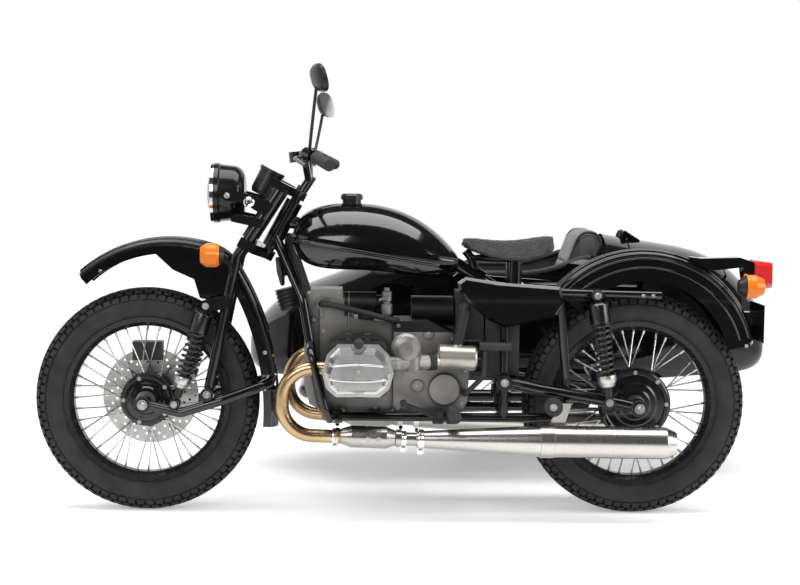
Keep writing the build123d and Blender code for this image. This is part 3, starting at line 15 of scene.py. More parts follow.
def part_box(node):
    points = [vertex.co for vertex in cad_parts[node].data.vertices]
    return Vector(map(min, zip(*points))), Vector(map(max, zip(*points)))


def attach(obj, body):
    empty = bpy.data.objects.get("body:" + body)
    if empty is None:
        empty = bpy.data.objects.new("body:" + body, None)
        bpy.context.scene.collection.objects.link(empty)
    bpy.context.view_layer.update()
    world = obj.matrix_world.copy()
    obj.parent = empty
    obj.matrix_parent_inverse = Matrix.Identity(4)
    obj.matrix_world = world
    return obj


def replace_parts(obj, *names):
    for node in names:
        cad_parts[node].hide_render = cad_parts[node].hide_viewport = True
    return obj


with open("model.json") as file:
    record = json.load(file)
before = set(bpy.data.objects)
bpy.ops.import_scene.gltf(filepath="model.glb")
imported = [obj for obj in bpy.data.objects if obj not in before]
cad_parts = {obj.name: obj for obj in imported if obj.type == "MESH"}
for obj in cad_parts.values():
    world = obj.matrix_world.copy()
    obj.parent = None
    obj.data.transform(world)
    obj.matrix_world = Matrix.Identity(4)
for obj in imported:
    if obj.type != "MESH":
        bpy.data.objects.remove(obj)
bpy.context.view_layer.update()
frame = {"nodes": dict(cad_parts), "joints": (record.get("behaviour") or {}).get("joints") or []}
nodes = frame["nodes"]

# %% [markdown]
# ## Bike axes
# The motorcycle was measured from its rear axle, on its own middle plane, in millimetres. One small function
# carries such a point into the shared frame, so each number below can be read against a real motorcycle.

# %% bike axes to the shared frame
joint_at = {joint["name"]: np.array(joint["pos_m"]) for joint in frame["joints"]}
MM = 0.001
REAR_AXLE = joint_at["rear_wheel_turn"]
BIKE_ORIGIN = np.array([REAR_AXLE[0], REAR_AXLE[1], 0.0])
WHEELBASE, TYRE_R = 1503, 345


def bike(points):
    """Points in bike axes, in mm, moved to the shared frame in metres: scaled, then shifted."""
    return np.asarray(points, float) * MM + BIKE_ORIGIN


print("front axle", np.round(bike([WHEELBASE, 0, TYRE_R]), 4))

# %% [markdown]
# ## Camera
# A camera fitted to the two wheels of the photograph stands 5.3 m to the left of the bike, a little above the
# tank, and looks slightly down. Its three turns are written out as sums of the view's own axes.

# %% camera
EYE = [826.8, 5300.5, 1095.9]
YAW, PITCH, ROLL = 0.0189, 0.0783, 0.0106
FOCAL_PX, IMAGE_W, SENSOR_W = 1718.55, 800, 36.0


def turned(first, second, angle):
    """Two axes turned towards each other: each is cos of itself plus or minus sin of the other."""
    c, s = np.cos(angle), np.sin(angle)
    return first * c + second * s, second * c - first * s


ahead, right, up = np.array([0, -1.0, 0]), np.array([-1.0, 0, 0]), np.array([0, 0, 1.0])
ahead, right = turned(ahead, right, YAW)
up, ahead = turned(up, ahead, PITCH)
right, up = turned(right, up, ROLL)
cam_data = bpy.data.cameras.new("camera")
cam_data.sensor_width = SENSOR_W
cam_data.lens = SENSOR_W * FOCAL_PX / IMAGE_W
camera = bpy.data.objects.new("camera", cam_data)
bpy.context.scene.collection.objects.link(camera)
view_axes = Matrix(np.array([right, up, -ahead]).T.tolist()).to_4x4()
camera.matrix_world = Matrix.Translation(bike(EYE)) @ view_axes
bpy.context.scene.camera = camera
print("lens", round(cam_data.lens, 2))

# %% [markdown]
# ## Shader maths as plain expressions
# A finish is a sum of masks, so the masks should read like sums. A small class wraps one output socket, and
# its operators add Math nodes. Every other node comes from one method, `node`, which sets the settings first.


# %% a wrapped socket and a material
class Wire:
    """One output socket of a node tree. Arithmetic on it adds Math nodes."""

    def __init__(self, finish, socket):
        self.finish, self.socket = finish, socket

    def math(self, operation, *others):
        return self.finish.node("ShaderNodeMath", {"operation": operation}, [self, *others])

    def __add__(self, other):
        return self.math("ADD", other)

    def __sub__(self, other):
        return self.math("SUBTRACT", other)

    def __rsub__(self, other):
        return self.finish.node("ShaderNodeMath", {"operation": "SUBTRACT"}, [other, self])

    def __mul__(self, other):
        return self.math("MULTIPLY", other)

    def __truediv__(self, other):
        return self.math("DIVIDE", other)

    __radd__, __rmul__ = __add__, __mul__

    def step(self, low, high):
        """0 below low, 1 above high, and a smooth rise between them."""
        return self.finish.node("ShaderNodeMapRange", {"interpolation_type": "SMOOTHSTEP"},
                                {"Value": self, "From Min": low, "From Max": high})


class Finish:
    """A material with its main shader, made node by node."""

    def __init__(self, name, **sockets):
        self.material = bpy.data.materials.new(name)
        self.material.use_nodes = True
        self.tree = self.material.node_tree
        self.shader = self.tree.nodes["Principled BSDF"]
        self.set(**sockets)

    def set(self, **sockets):
        for key, value in sockets.items():
            self.put(self.shader.inputs[key.replace("_", " ")], value)
        return self

    def put(self, socket, value):
        if isinstance(value, Wire):
            self.tree.links.new(value.socket, socket)
        elif isinstance(value, (tuple, list)) and len(value) == 3 and socket.type == "RGBA":
            socket.default_value = (*value, 1.0)
        else:
            socket.default_value = value

    def node(self, kind, settings=None, sockets=(), out=0):
        made = self.tree.nodes.new(kind)
        for key, value in (settings or {}).items():
            if key == "stops":
                ramp = made.color_ramp
                while len(ramp.elements) < len(value):
                    ramp.elements.new(0.5)
                for element, (place, colour) in zip(ramp.elements, value):
                    element.position, element.color = place, (*colour, 1.0)
            else:
                setattr(made, key, value)
        pairs = sockets.items() if isinstance(sockets, dict) else enumerate(sockets)
        for key, value in pairs:
            self.put(made.inputs[key], value)
        return Wire(self, made.outputs[out])

    def place(self):
        return self.node("ShaderNodeTexCoord", out="Object")

    def split(self, vector):
        made = self.tree.nodes.new("ShaderNodeSeparateXYZ")
        self.put(made.inputs[0], vector)
        return [Wire(self, made.outputs[i]) for i in range(3)]

    def noise(self, scale, detail=3.0, where=None):
        return self.node("ShaderNodeTexNoise", {},
                         {"Vector": where or self.place(), "Scale": scale, "Detail": detail})

    def blend(self, factor, first, second):
        return self.node("ShaderNodeMix", {"data_type": "RGBA"}, {0: factor, 6: first, 7: second}, out=2)

    def bump(self, height, distance, strength=1.0):
        return self.set(Normal=self.node("ShaderNodeBump", {}, {"Strength": strength, "Distance": distance,
                                                                "Height": height}))

    def open_air(self, reach, low, high):
        """0 deep in a hollow, 1 in the open: the share of the sky that a spot sees, sharpened. Used to paint
        shade.
        """
        sky = self.node("ShaderNodeAmbientOcclusion", {"samples": 8}, {"Distance": reach}, out="AO")
        return sky.step(low, high)


def paint(names, finish):
    """Gives one finish to these CAD nodes or pieces."""
    for name in names:
        mesh = bpy.data.objects[name].data
        mesh.materials.clear()
        mesh.materials.append(finish.material)
    print(finish.material.name, "on", ", ".join(names))


# %% [markdown]
# ## Black enamel
# Tank, fenders, frame and tub wear thick gloss enamel. Real enamel is a dark base under a clear coat with a
# faint orange-peel ripple, so the base is nearly black, a thin coat lies over it, and a fine noise bends the
# highlights a little. A wide cloud lifts the base by a trace, as dust does.

# %% gloss paint and satin black


def enamel(name, colour, rough, coat, shine=0.22):
    """Dark paint under clear coat: fine ripple in the normal, cloudy polish in the roughness."""
    made = Finish(name, Coat_Roughness=0.03, IOR=1.5, Specular_IOR_Level=shine)
    cloud = made.noise(9.0)
    ripple = made.noise(420.0, 1.0)
    swirl = made.noise(60.0, 4.0)
    lift = made.blend(cloud.step(0.4, 0.8), colour, tuple(1.8 * c + 0.0004 for c in colour))
    made.set(Base_Color=lift, Roughness=rough + 0.10 * swirl, Coat_Weight=coat * (1.2 - 0.4 * cloud))
    return made.bump(ripple, 0.00008, 0.2)


JET = (0.0020, 0.0020, 0.0022)
GLOSS = enamel("gloss_enamel", JET, rough=0.07, coat=0.5, shine=0.4)
TUBE_BLACK = enamel("tube_enamel", (0.0028, 0.0028, 0.003), rough=0.15, coat=0.30, shine=0.4)
paint(["fuel_tank", "side_panels", "rear_fender", "front_fender", "sidecar_fender", "tail_bracket"], GLOSS)
paint(["frame", "saddle_bracket", "plate_bracket", "swingarm", "leg_guard", "sidecar_frame", "sidecar_struts",
       "sidecar_arm", "fork", "link_arm", "handlebar"], TUBE_BLACK)

# %% [markdown]
# ## The tub, painted outside and lined inside
# The tub is one skin with two faces: enamel outside, and a felt lining in the cockpit and boot. A face whose
# normal points back towards the tub's middle is an inside face. The dot product of the normal and the way
# from the middle is then below zero, and that is the mask.

# %% tub finish
TUB_MIDDLE = -710.0
TUB_HEART = bike([300, TUB_MIDDLE, 590])
LINED_BELOW, OUTER_COAT = (-0.012, -0.004), 0.25
TUB = enamel("tub_enamel", JET, rough=0.07, coat=0.3, shine=0.25)
from_heart = TUB.node("ShaderNodeVectorMath", {"operation": "SUBTRACT"}, [TUB.place(), tuple(TUB_HEART)])
outward = TUB.node("ShaderNodeVectorMath", {"operation": "DOT_PRODUCT"},
                   [TUB.node("ShaderNodeNewGeometry", out="Normal"), from_heart], out="Value")
lined = 1 - outward.step(*LINED_BELOW)
felt = TUB.blend(TUB.noise(900.0, 3.0), (0.020, 0.020, 0.021), (0.042, 0.042, 0.043))
TUB.set(Base_Color=TUB.blend(lined, (0.0022, 0.0022, 0.0024), felt), Roughness=0.10 + 0.8 * lined,
        Coat_Weight=OUTER_COAT - OUTER_COAT * lined)
paint(["sidecar_tub", "boot_lid"], TUB)

# %% [markdown]
# ## Cast, polished and satin alloy
# The engine is sand-cast aluminium with a pebbled skin. Shade is painted into its hollows, which leaves them
# darker and duller than the open faces and edges. The rocker covers are polished, and the final drive is
# enamelled black.

# %% alloy finishes


def cast(name, dark, light, rough, grain, depth, metal=0.85, dirt_and_shade=1.0):
    """Cast metal: two greys clouded together, a pebbled bump, rougher dark spots where oil has dried, and
    painted shade in hollows.
    """
    made = Finish(name)
    cloud = made.noise(14.0, 5.0)
    pebble = made.noise(grain, 2.0)
    # painted shade: hollows found by ambient occlusion are darkened, roughened and made less metallic, with
    # the stain spots
    hollow = 1 - made.open_air(0.06, 0.25, 0.95)
    stain_and_shade = dirt_and_shade * (made.noise(38.0, 6.0).step(0.56, 0.72) + 1.6 * hollow).math("MINIMUM", 2.2)
    tone = made.blend(cloud.step(0.3, 0.7), dark, light)
    made.set(Base_Color=made.blend(stain_and_shade * 0.35, tone, tuple(0.45 * c for c in dark)),
             Roughness=rough + 0.12 * cloud + 0.10 * stain_and_shade, Metallic=metal - 0.2 * stain_and_shade)
    return made.bump(pebble, depth, 0.6)


CAST = cast("cast_alloy", (0.19, 0.186, 0.174), (0.30, 0.294, 0.28), rough=0.34, grain=520.0, depth=0.0004,
            metal=0.75)
POLISHED = cast("polished_alloy", (0.62, 0.62, 0.61), (0.72, 0.72, 0.71), rough=0.17, grain=260.0,
                depth=0.00006, metal=0.92, dirt_and_shade=0.35)
DRIVE_BLACK = enamel("drive_enamel", (0.010, 0.010, 0.010), rough=0.30, coat=0.10)
paint(["carburettors"], CAST)
paint(["rocker_covers"], POLISHED)
paint(["final_drive"], DRIVE_BLACK)

# %% [markdown]
# ## Exhaust
# Header pipes turn straw gold where they are hottest, near the ports, and fade to grey steel further back.
# The silencer is spun and then brushed around, so its scratches run round the tube: the noise is squeezed
# along the tube's length. The brake disc is plain bright steel, with a grain that runs no one way.

# %% tinted pipes, brushed silencer, disc


def brushed(name, tone, rough, stretch):
    """Brushed steel: a noise stretched by a vector leaves long scratches across the tube."""
    made = Finish(name, Metallic=1.0)
    grain = made.noise(1.0, 6.0, made.node("ShaderNodeVectorMath", {"operation": "MULTIPLY"},
                                           [made.place(), stretch]))
    cloud = made.noise(6.0, 3.0)
    made.set(Base_Color=made.blend(cloud, tone, tuple(0.86 * c for c in tone)),
             Roughness=rough + 0.14 * grain + 0.06 * cloud)
    return made.bump(grain, 0.00003, 0.15)


SILENCER = brushed("silencer_steel", (0.52, 0.50, 0.465), rough=0.15, stretch=(700.0, 8.0, 8.0))
BRIGHT = brushed("bright_steel", (0.52, 0.515, 0.49), rough=0.24, stretch=(60.0, 60.0, 60.0))
CHROME = brushed("chrome", (0.83, 0.83, 0.83), rough=0.03, stretch=(30.0, 30.0, 30.0))
paint(["mufflers"], SILENCER)
paint(["front_disc"], BRIGHT)
TINT_X = (0.238, 0.34)
STRAW = [(0.0, (0.40, 0.385, 0.355)), (0.10, (0.40, 0.30, 0.19)), (0.5, (0.52, 0.40, 0.245)),
         (1.0, (0.44, 0.30, 0.165))]
HEADER = Finish("heat_tinted_steel", Metallic=1.0)
along_x = HEADER.split(HEADER.place())[0]
heat = (along_x + 0.02 * HEADER.noise(22.0)).step(*TINT_X)
straw = HEADER.node("ShaderNodeValToRGB", {"stops": STRAW}, {"Fac": heat})
soot = HEADER.noise(55.0, 5.0)
HEADER.set(Base_Color=straw, Roughness=0.18 + 0.16 * soot).bump(soot, 0.0002, 0.2)
paint(["exhaust_headers"], HEADER)
paint(["tank_cap"], enamel("cap_black", (0.012, 0.012, 0.012), rough=0.30, coat=0.2))

# %% [markdown]
# ## Plastic and rubber
# Boxes and caliper are moulded black plastic with a fine leather grain. Grips and pedals are rubber: rougher,
# greyer, with a bloom of dust in patches. The spring legs are the same black, moulded smoother.

# %% plastic and rubber


def moulded(name, colour, bloom, rough, grain, depth):
    """Moulded black: a grain of round cells in the bump, greyer where the bloom noise is high."""
    made = Finish(name, IOR=1.48)
    cells = made.node("ShaderNodeTexVoronoi", {}, {"Vector": made.place(), "Scale": grain})
    cloud = made.noise(24.0, 4.0)
    made.set(Base_Color=made.blend(cloud.step(0.45, 0.8), colour, bloom), Roughness=rough + 0.15 * cloud)
    return made.bump(cells, depth, 0.5)


PLASTIC = moulded("black_plastic", (0.014, 0.014, 0.014), (0.022, 0.022, 0.022), 0.34, 900.0, 0.0003)
RUBBER = moulded("black_rubber", (0.015, 0.015, 0.015), (0.030, 0.029, 0.028), 0.58, 600.0, 0.0005)
paint(["air_and_battery_boxes", "brake_caliper"], PLASTIC)
paint(["grips", "foot_controls"], RUBBER)
LEG_BLACK = moulded("leg_black", (0.010, 0.010, 0.010), (0.018, 0.018, 0.018), 0.28, 500.0, 0.0002)
paint(["rear_shocks", "front_shocks", "sidecar_shock"], LEG_BLACK)

# %% [markdown]
# ## Wire wheels
# One material serves a whole wheel. The distance from the axle tells its parts apart: an alloy core, a black
# hub, bright steel spokes and a black rim. Distance comes from the X and Z of the Object coordinates less the
# axle's own place.

# %% rims, spokes and hubs
CORE_EDGE, RIM_EDGE = 0.0305, 0.222
HUB_EDGES = {"front": 0.083, "rear": 0.1145, "sidecar": 0.1145}
WHEEL_JOINTS = {which: f"{which}_wheel_turn" for which in HUB_EDGES}


def wheel_finish(name, centre, hub_edge):
    """Bands by radius about the axle: alloy core, black hub up to hub_edge, bright spokes, black rim."""
    made = Finish(name, Coat_Roughness=0.05, Specular_IOR_Level=0.3)
    x, _, z = made.split(made.place())
    dx, dz = x - centre[0], z - centre[2]
    radius = (dx * dx + dz * dz).math("SQRT")
    rim, hub = radius.step(RIM_EDGE, RIM_EDGE + 0.002), 1 - radius.step(hub_edge, hub_edge + 0.002)
    core = 1 - radius.step(CORE_EDGE, CORE_EDGE + 0.001)
    grime = made.noise(45.0, 4.0)
    steel = made.blend(grime * 0.5, (0.50, 0.50, 0.49), (0.26, 0.255, 0.25))
    black = made.blend(grime, (0.007, 0.007, 0.0075), (0.014, 0.014, 0.014))
    tone = made.blend(core, made.blend((rim + hub).math("MINIMUM", 1.0), steel, black), (0.30, 0.30, 0.29))
    metal = (1 - rim) * (1 - hub) + core
    made.set(Base_Color=tone, Metallic=metal, Coat_Weight=0.15 * rim,
             Roughness=0.20 + 0.14 * grime + 0.06 * hub)
    return made.bump(made.noise(500.0, 2.0), 0.0002, 0.3)


for which, joint_name in WHEEL_JOINTS.items():
    paint([f"{which}_wheel"], wheel_finish(f"{which}_wheel_finish", joint_at[joint_name], HUB_EDGES[which]))

# %% [markdown]
# ## Lenses
# The tail lamp is dyed clear plastic over a reflector, painted as dyed plastic with moulded ribs in the bump.
# A faint painted glow stands in for the light that the reflector throws back. The headlamp's glass is clear,
# with flutes.

# %% lamp lenses


def glowing_dyed_lens(name, deep, pale, ribs):
    """Dyed lens: fine level prisms as a wave in the bump and in the colour, and a faint painted glow."""
    made = Finish(name, IOR=1.49, Coat_Weight=1.0)
    prism = made.node("ShaderNodeTexWave", {"bands_direction": "Z"}, {"Vector": made.place(), "Scale": ribs})
    cloud = made.noise(30.0, 2.0)
    tone = made.blend(prism * 0.6 + cloud * 0.3, deep, pale)
    # painted glow: a faint emission in the lens's own colour, though no lamp is lit
    made.set(Base_Color=tone, Roughness=0.08 + 0.1 * cloud, Emission_Color=tone, Emission_Strength=0.05)
    return made.bump(prism, 0.0006, 0.4)


RED = glowing_dyed_lens("red_lens", (0.42, 0.006, 0.008), (0.62, 0.02, 0.02), 90.0)
paint(["tail_lens"], RED)
GLASS = Finish("lamp_glass", IOR=1.5, Transmission_Weight=1.0, Base_Color=(0.95, 0.97, 0.97))
flute = GLASS.node("ShaderNodeTexWave", {"bands_direction": "Y"}, {"Vector": GLASS.place(), "Scale": 40.0})
GLASS.set(Roughness=0.03 + 0.05 * GLASS.noise(30.0)).bump(flute, 0.0006, 0.5)
paint(["headlamp_lens"], GLASS)

# %% [markdown]
# ## Two finishes on one solid
# Some solids carry two materials on the real outfit: an indicator is a lens on a black base, the headlamp has
# a chrome ring, the intake has a rubber elbow. A mask made from the place, in bike millimetres, picks between
# two finishes, each a colour, a metallic level and a roughness.

# %% masks by place
STAGGER = 38
TAIL_LENS_X, SIDE_LAMP_Y, SIDE_WHEEL_X, SIDE_LENS_FROM = -318, -900, 280, 339
FRONT_LENS_X, LAMP_RING_X = 1268, 1298.5
CANISTER_TOP, CANISTER_FRONT = 536, 577
GAUGE_FOOT, GAUGE_UP, DIAL_FROM = (1158, 978), (-0.447, 0.894), 84.3
DIAL_AT, DIAL_R = (1120, 1054), 34.0
PORT_Z, BOOT_R, BOOT_END = 546, 19.0, 119.5
CASE_BLACK_Z, CASE_BLACK_X, BOX_BLACK_Z = 612, 897, 566


def two_tone(name, node_name, mask, first, second):
    """Mixes two finishes by a mask of the bike's x, y and z. A cloud darkens both in patches and lifts the
    roughness. Hollows get painted shade, near black.
    """
    made = Finish(name, Coat_Roughness=0.04, Specular_IOR_Level=0.35)
    x, y, z = made.split(made.place())
    where = mask((x - REAR_AXLE[0]) / MM, (y - REAR_AXLE[1]) / MM, z / MM)
    cloud = made.noise(30.0, 4.0)
    tones = [made.blend(cloud, colour, tuple(0.78 * c for c in colour)) for colour, _, _ in (first, second)]
    # painted shade: hollows found by ambient occlusion are darkened nearly to black
    tone = made.blend(made.open_air(0.09, 0.25, 0.97), (0.006, 0.006, 0.006), made.blend(where, *tones))
    made.set(Base_Color=tone, Metallic=first[1] + where * (second[1] - first[1]),
             Roughness=first[2] + where * (second[2] - first[2]) + 0.10 * cloud)
    paint([node_name], made.bump(made.noise(480.0, 2.0), 0.0001, 0.3))


def above(wire, edge):
    """1 where the value is over the edge, with half a millimetre of blur."""
    return wire.step(edge - 0.25, edge + 0.25)


def front_lens(x, y, z):
    return above(x, FRONT_LENS_X)


def rear_lens(x, y, z):
    tail = 1 - above(x, TAIL_LENS_X)
    return tail + (1 - above(y, SIDE_LAMP_Y)) * above((x - SIDE_WHEEL_X).math("ABSOLUTE"), SIDE_LENS_FROM)


def lamp_ring(x, y, z):
    return above(x, LAMP_RING_X)


def canister(x, y, z):
    return (1 - above(z, CANISTER_TOP)) * (1 - above(x - STAGGER * above(y, 0), CANISTER_FRONT))


def dial(x, y, z):
    height = (z - GAUGE_FOOT[1]) * GAUGE_UP[1] + (x - GAUGE_FOOT[0]) * GAUGE_UP[0]
    apart = (x - DIAL_AT[0]).math("POWER", 2.0) + y * y + (z - DIAL_AT[1]).math("POWER", 2.0)
    return above(height, DIAL_FROM) * (1 - above(apart, DIAL_R ** 2))


def boots(x, y, z):
    near_port = (z - PORT_Z).math("ABSOLUTE").math("LESS_THAN", BOOT_R)
    return near_port * y.math("ABSOLUTE").math("LESS_THAN", BOOT_END)


def case_top(x, y, z):
    return above(z, CASE_BLACK_Z) * (1 - above(x, CASE_BLACK_X))


def box_top(x, y, z):
    return above(z, BOX_BLACK_Z)


# %% [markdown]
# ## The pairs
# Each finish is a colour, a metallic level and a roughness. A table says which solid carries which two, and
# which mask parts them.

# %% paired finishes
SHELL, RING = ((0.008, 0.008, 0.0085), 0.0, 0.12), ((0.62, 0.62, 0.62), 1.0, 0.05)
BASE, ORANGE = ((0.012, 0.011, 0.011), 0.0, 0.3), ((0.80, 0.185, 0.008), 0.0, 0.10)
ELBOW, SATIN = ((0.012, 0.012, 0.012), 0.0, 0.5), ((0.44, 0.42, 0.37), 0.9, 0.3)
BEZEL, FACE = ((0.014, 0.014, 0.014), 0.0, 0.3), ((0.38, 0.38, 0.37), 0.0, 0.12)
BARREL, BOOT = ((0.20, 0.197, 0.19), 0.9, 0.34), ((0.012, 0.012, 0.012), 0.0, 0.6)
# The second finish of the crankcase and gearbox pairs paints their tops, under the tank, near black.
ALLOY, TOP_BLACK = ((0.36, 0.35, 0.325), 0.7, 0.34), ((0.010, 0.010, 0.010), 0.0, 0.36)
PAIRS = [("front_blinker_finish", "front_blinkers", front_lens, BASE, ORANGE),
         ("rear_blinker_finish", "rear_blinkers", rear_lens, BASE, ORANGE),
         ("headlamp_finish", "headlamp", lamp_ring, SHELL, RING),
         ("intake_finish", "intake_canisters", canister, ELBOW, SATIN),
         ("gauge_finish", "gauge", dial, BEZEL, FACE), ("barrel_finish", "cylinders", boots, BARREL, BOOT),
         ("crankcase_finish", "crankcase", case_top, ALLOY, TOP_BLACK),
         ("gearbox_finish", "gearbox", box_top, ALLOY, TOP_BLACK)]
for pair in PAIRS:
    two_tone(*pair)

# %% [markdown]
# ## Mirror glass
# A mirror is a black shell with glass on the face towards the rider. One material does both: a normal that
# points backward means glass.

# %% mirror finish
GLASS_FACING = (-0.94, -0.90)
MIRROR = Finish("mirror_finish", Specular_IOR_Level=0.3)
facing = MIRROR.split(MIRROR.node("ShaderNodeNewGeometry", out="Normal"))[0]
glass = 1 - facing.step(*GLASS_FACING)
MIRROR.set(Base_Color=MIRROR.blend(glass, (0.012, 0.012, 0.012), (0.75, 0.76, 0.77)), Metallic=glass,
           Roughness=0.32 - 0.30 * glass + 0.05 * MIRROR.noise(40.0)).bump(MIRROR.noise(700.0), 0.0001, 0.1)
paint(["mirrors"], MIRROR)

# %% [markdown]
# ## Surfaces from arrays
# Every new piece is a grid of points: a profile turned about a line, a ring carried along a path, or a
# section bent round a wheel. Points are computed as whole arrays. One function welds the seams, drops the
# flat triangles at the poles, turns the faces outward and hands the piece to its body.

# %% grids, turned shapes, pipes and the piece maker


def quads(rows, cols, wrap_u=False, wrap_v=False):
    """Corner numbers of the cells of a rows by cols grid. A wrapped direction joins its end to its start."""
    index = np.arange(rows * cols).reshape(rows, cols)
    index = np.vstack([index, index[:1]]) if wrap_u else index
    index = np.hstack([index, index[:, :1]]) if wrap_v else index
    return np.stack([index[:-1, :-1], index[1:, :-1], index[1:, 1:], index[:-1, 1:]], -1).reshape(-1, 4)


def sheet(grid, wrap_u=False, wrap_v=False):
    """Points and cells of a grid of points."""
    return grid.reshape(-1, 3), quads(*grid.shape[:2], wrap_u, wrap_v)


def axes_of(direction):
    """Two unit vectors square to a direction and to each other."""
    run = np.asarray(direction, float) / np.linalg.norm(direction)
    aside = np.cross(run, np.eye(3)[np.argmin(np.abs(run))])
    aside /= np.linalg.norm(aside)
    return run, aside, np.cross(run, aside)


def turned_shape(profile, origin, direction, sides=48):
    """A profile of (radius, along) turned about a line: origin + along * run + radius * (cos, sin)."""
    run, aside, across = axes_of(direction)
    radius, along = np.asarray(profile, float).T
    angle = np.linspace(0, 2 * np.pi, sides, endpoint=False)
    ring = np.cos(angle)[None, :, None] * aside + np.sin(angle)[None, :, None] * across
    grid = np.asarray(origin, float) + along[:, None, None] * run + radius[:, None, None] * ring
    return sheet(grid, wrap_v=True)


def turned_mm(profile, place, direction, sides=48):
    """A turned shape whose profile is in mm and whose origin is in bike axes."""
    return turned_shape(np.array(profile) * MM, bike(place), direction, sides)
def pipe(path, radius, sides=12):
    """A ring carried along a path, square to its run, with both ends closed to a point."""
    path = np.asarray(path, float)
    run = np.gradient(path, axis=0)
    run /= np.linalg.norm(run, axis=1)[:, None]
    fixed = np.eye(3)[np.argmin(np.abs(run).max(0))]
    aside = np.cross(run, fixed)
    aside /= np.linalg.norm(aside, axis=1)[:, None]
    across = np.cross(run, aside)
    angle = np.linspace(0, 2 * np.pi, sides, endpoint=False)
    wide = np.broadcast_to(radius, len(path)).astype(float)[:, None, None]
    ring = np.cos(angle)[None, :, None] * aside[:, None] + np.sin(angle)[None, :, None] * across[:, None]
    grid = path[:, None] + wide * ring
    ends = [np.repeat(path[i][None, None], sides, 1) for i in (0, -1)]
    return sheet(np.concatenate([ends[0], grid, ends[1]]), wrap_v=True)


def helix(top, low, radius, wire, turns, sides=10, steps=26):
    """A wire wound round the line from top to low: the path turns while it goes along."""
    run, aside, across = axes_of(np.subtract(low, top))
    t = np.linspace(0, 1, int(turns * steps) + 1)[:, None]
    angle = 2 * np.pi * turns * t
    middle = np.asarray(top) + t * np.subtract(low, top)
    return pipe(middle + radius * (np.cos(angle) * aside + np.sin(angle) * across), wire, sides)


def spread(knots, count):
    """This many points along a polyline, evenly spaced by knot number."""
    knots = np.asarray(knots, float)
    at = np.linspace(0, len(knots) - 1, count)
    return np.stack([np.interp(at, np.arange(len(knots)), column) for column in knots.T], -1)
def piece(name, parts, body, finish, sharp=35.0, values=None):
    """Joins parts of (points, cells) into one object: welded, outward, smooth up to the sharp angle."""
    points, faces, start = [], [], 0
    for where, cells in parts:
        spots, first, back = np.unique(np.round(where, 6), axis=0, return_index=True, return_inverse=True)
        cells = back.reshape(-1)[cells]
        tris = np.vstack([cells[:, [0, 1, 2]], cells[:, [0, 2, 3]]])
        a, b, c = tris.T
        tris = tris[(a != b) & (b != c) & (a != c)]
        v0, v1, v2 = (spots[tris[:, i]] - spots.mean(0) for i in range(3))
        inside_out = (v0 * np.cross(v1, v2)).sum() < 0
        faces.append((tris[:, ::-1] if inside_out else tris) + start)
        points.append(spots)
        start += len(spots)
    points, faces = np.vstack(points), np.vstack(faces)
    mesh = bpy.data.meshes.new(name)
    mesh.from_pydata(points, [], faces)
    mesh.shade_smooth()
    mesh.set_sharp_from_angle(angle=np.radians(sharp))
    if values is not None:
        depth = mesh.attributes.new("depth", "FLOAT", "POINT")
        depth.data.foreach_set("value", values.ravel()[first].astype(np.float32))
    made = bpy.data.objects.new(name, mesh)
    bpy.context.scene.collection.objects.link(made)
    mesh.materials.append(finish.material)
    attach(made, body)
    print(name, len(points), "points", len(faces), "triangles")
    return made


# %% [markdown]
# ## Tyres with block tread
# The tread is a field of rubber blocks in staggered rows: one in the middle and three to each side, of which
# the last wraps down the shoulder. The section is bent round the wheel, and each point sinks along its normal
# where the row grooves or the cross grooves pass. Sample lines lie just beside the block edges, so few are
# needed.

# %% tyres
BLOCKS, GROOVE = 70, 8.0
PITCH_STEPS = np.array([0.0, 0.05, 0.22, 0.27, 0.39, 0.5, 0.55, 0.72, 0.77, 0.89])
CROSS_GROOVE = (0.045, 0.265)
SECTION = [(243.8, 0), (243.8, 30), (255, 33), (258, 37), (266, 43), (278, 48.5), (292, 51.3), (300, 51.3),
           (312, 50), (324, 46), (331, 41), (337, 33), (341, 25), (344, 14), (345, 0)]
ROWS = [(0, 9, 0.0), (13, 27, 0.5), (31, 46, 0.0), (50, 67, 0.5)]
EDGE, FIELD_LINES = 0.7, (20, 38, 58)
SIDEWALL_FROM, SIDEWALL_LINES, TREAD_TO = 72, 17, 68
SHALLOW_AT, SHALLOW_OVER, SHALLOWEST = 84, 40, 0.35


def resampled(points, at):
    """Points on a polyline at these distances along it."""
    points = np.asarray(points, float)
    reach = np.r_[0, np.cumsum(np.linalg.norm(np.diff(points, axis=0), axis=1))]
    return np.stack([np.interp(at, reach, points[:, i]) for i in range(2)], -1)


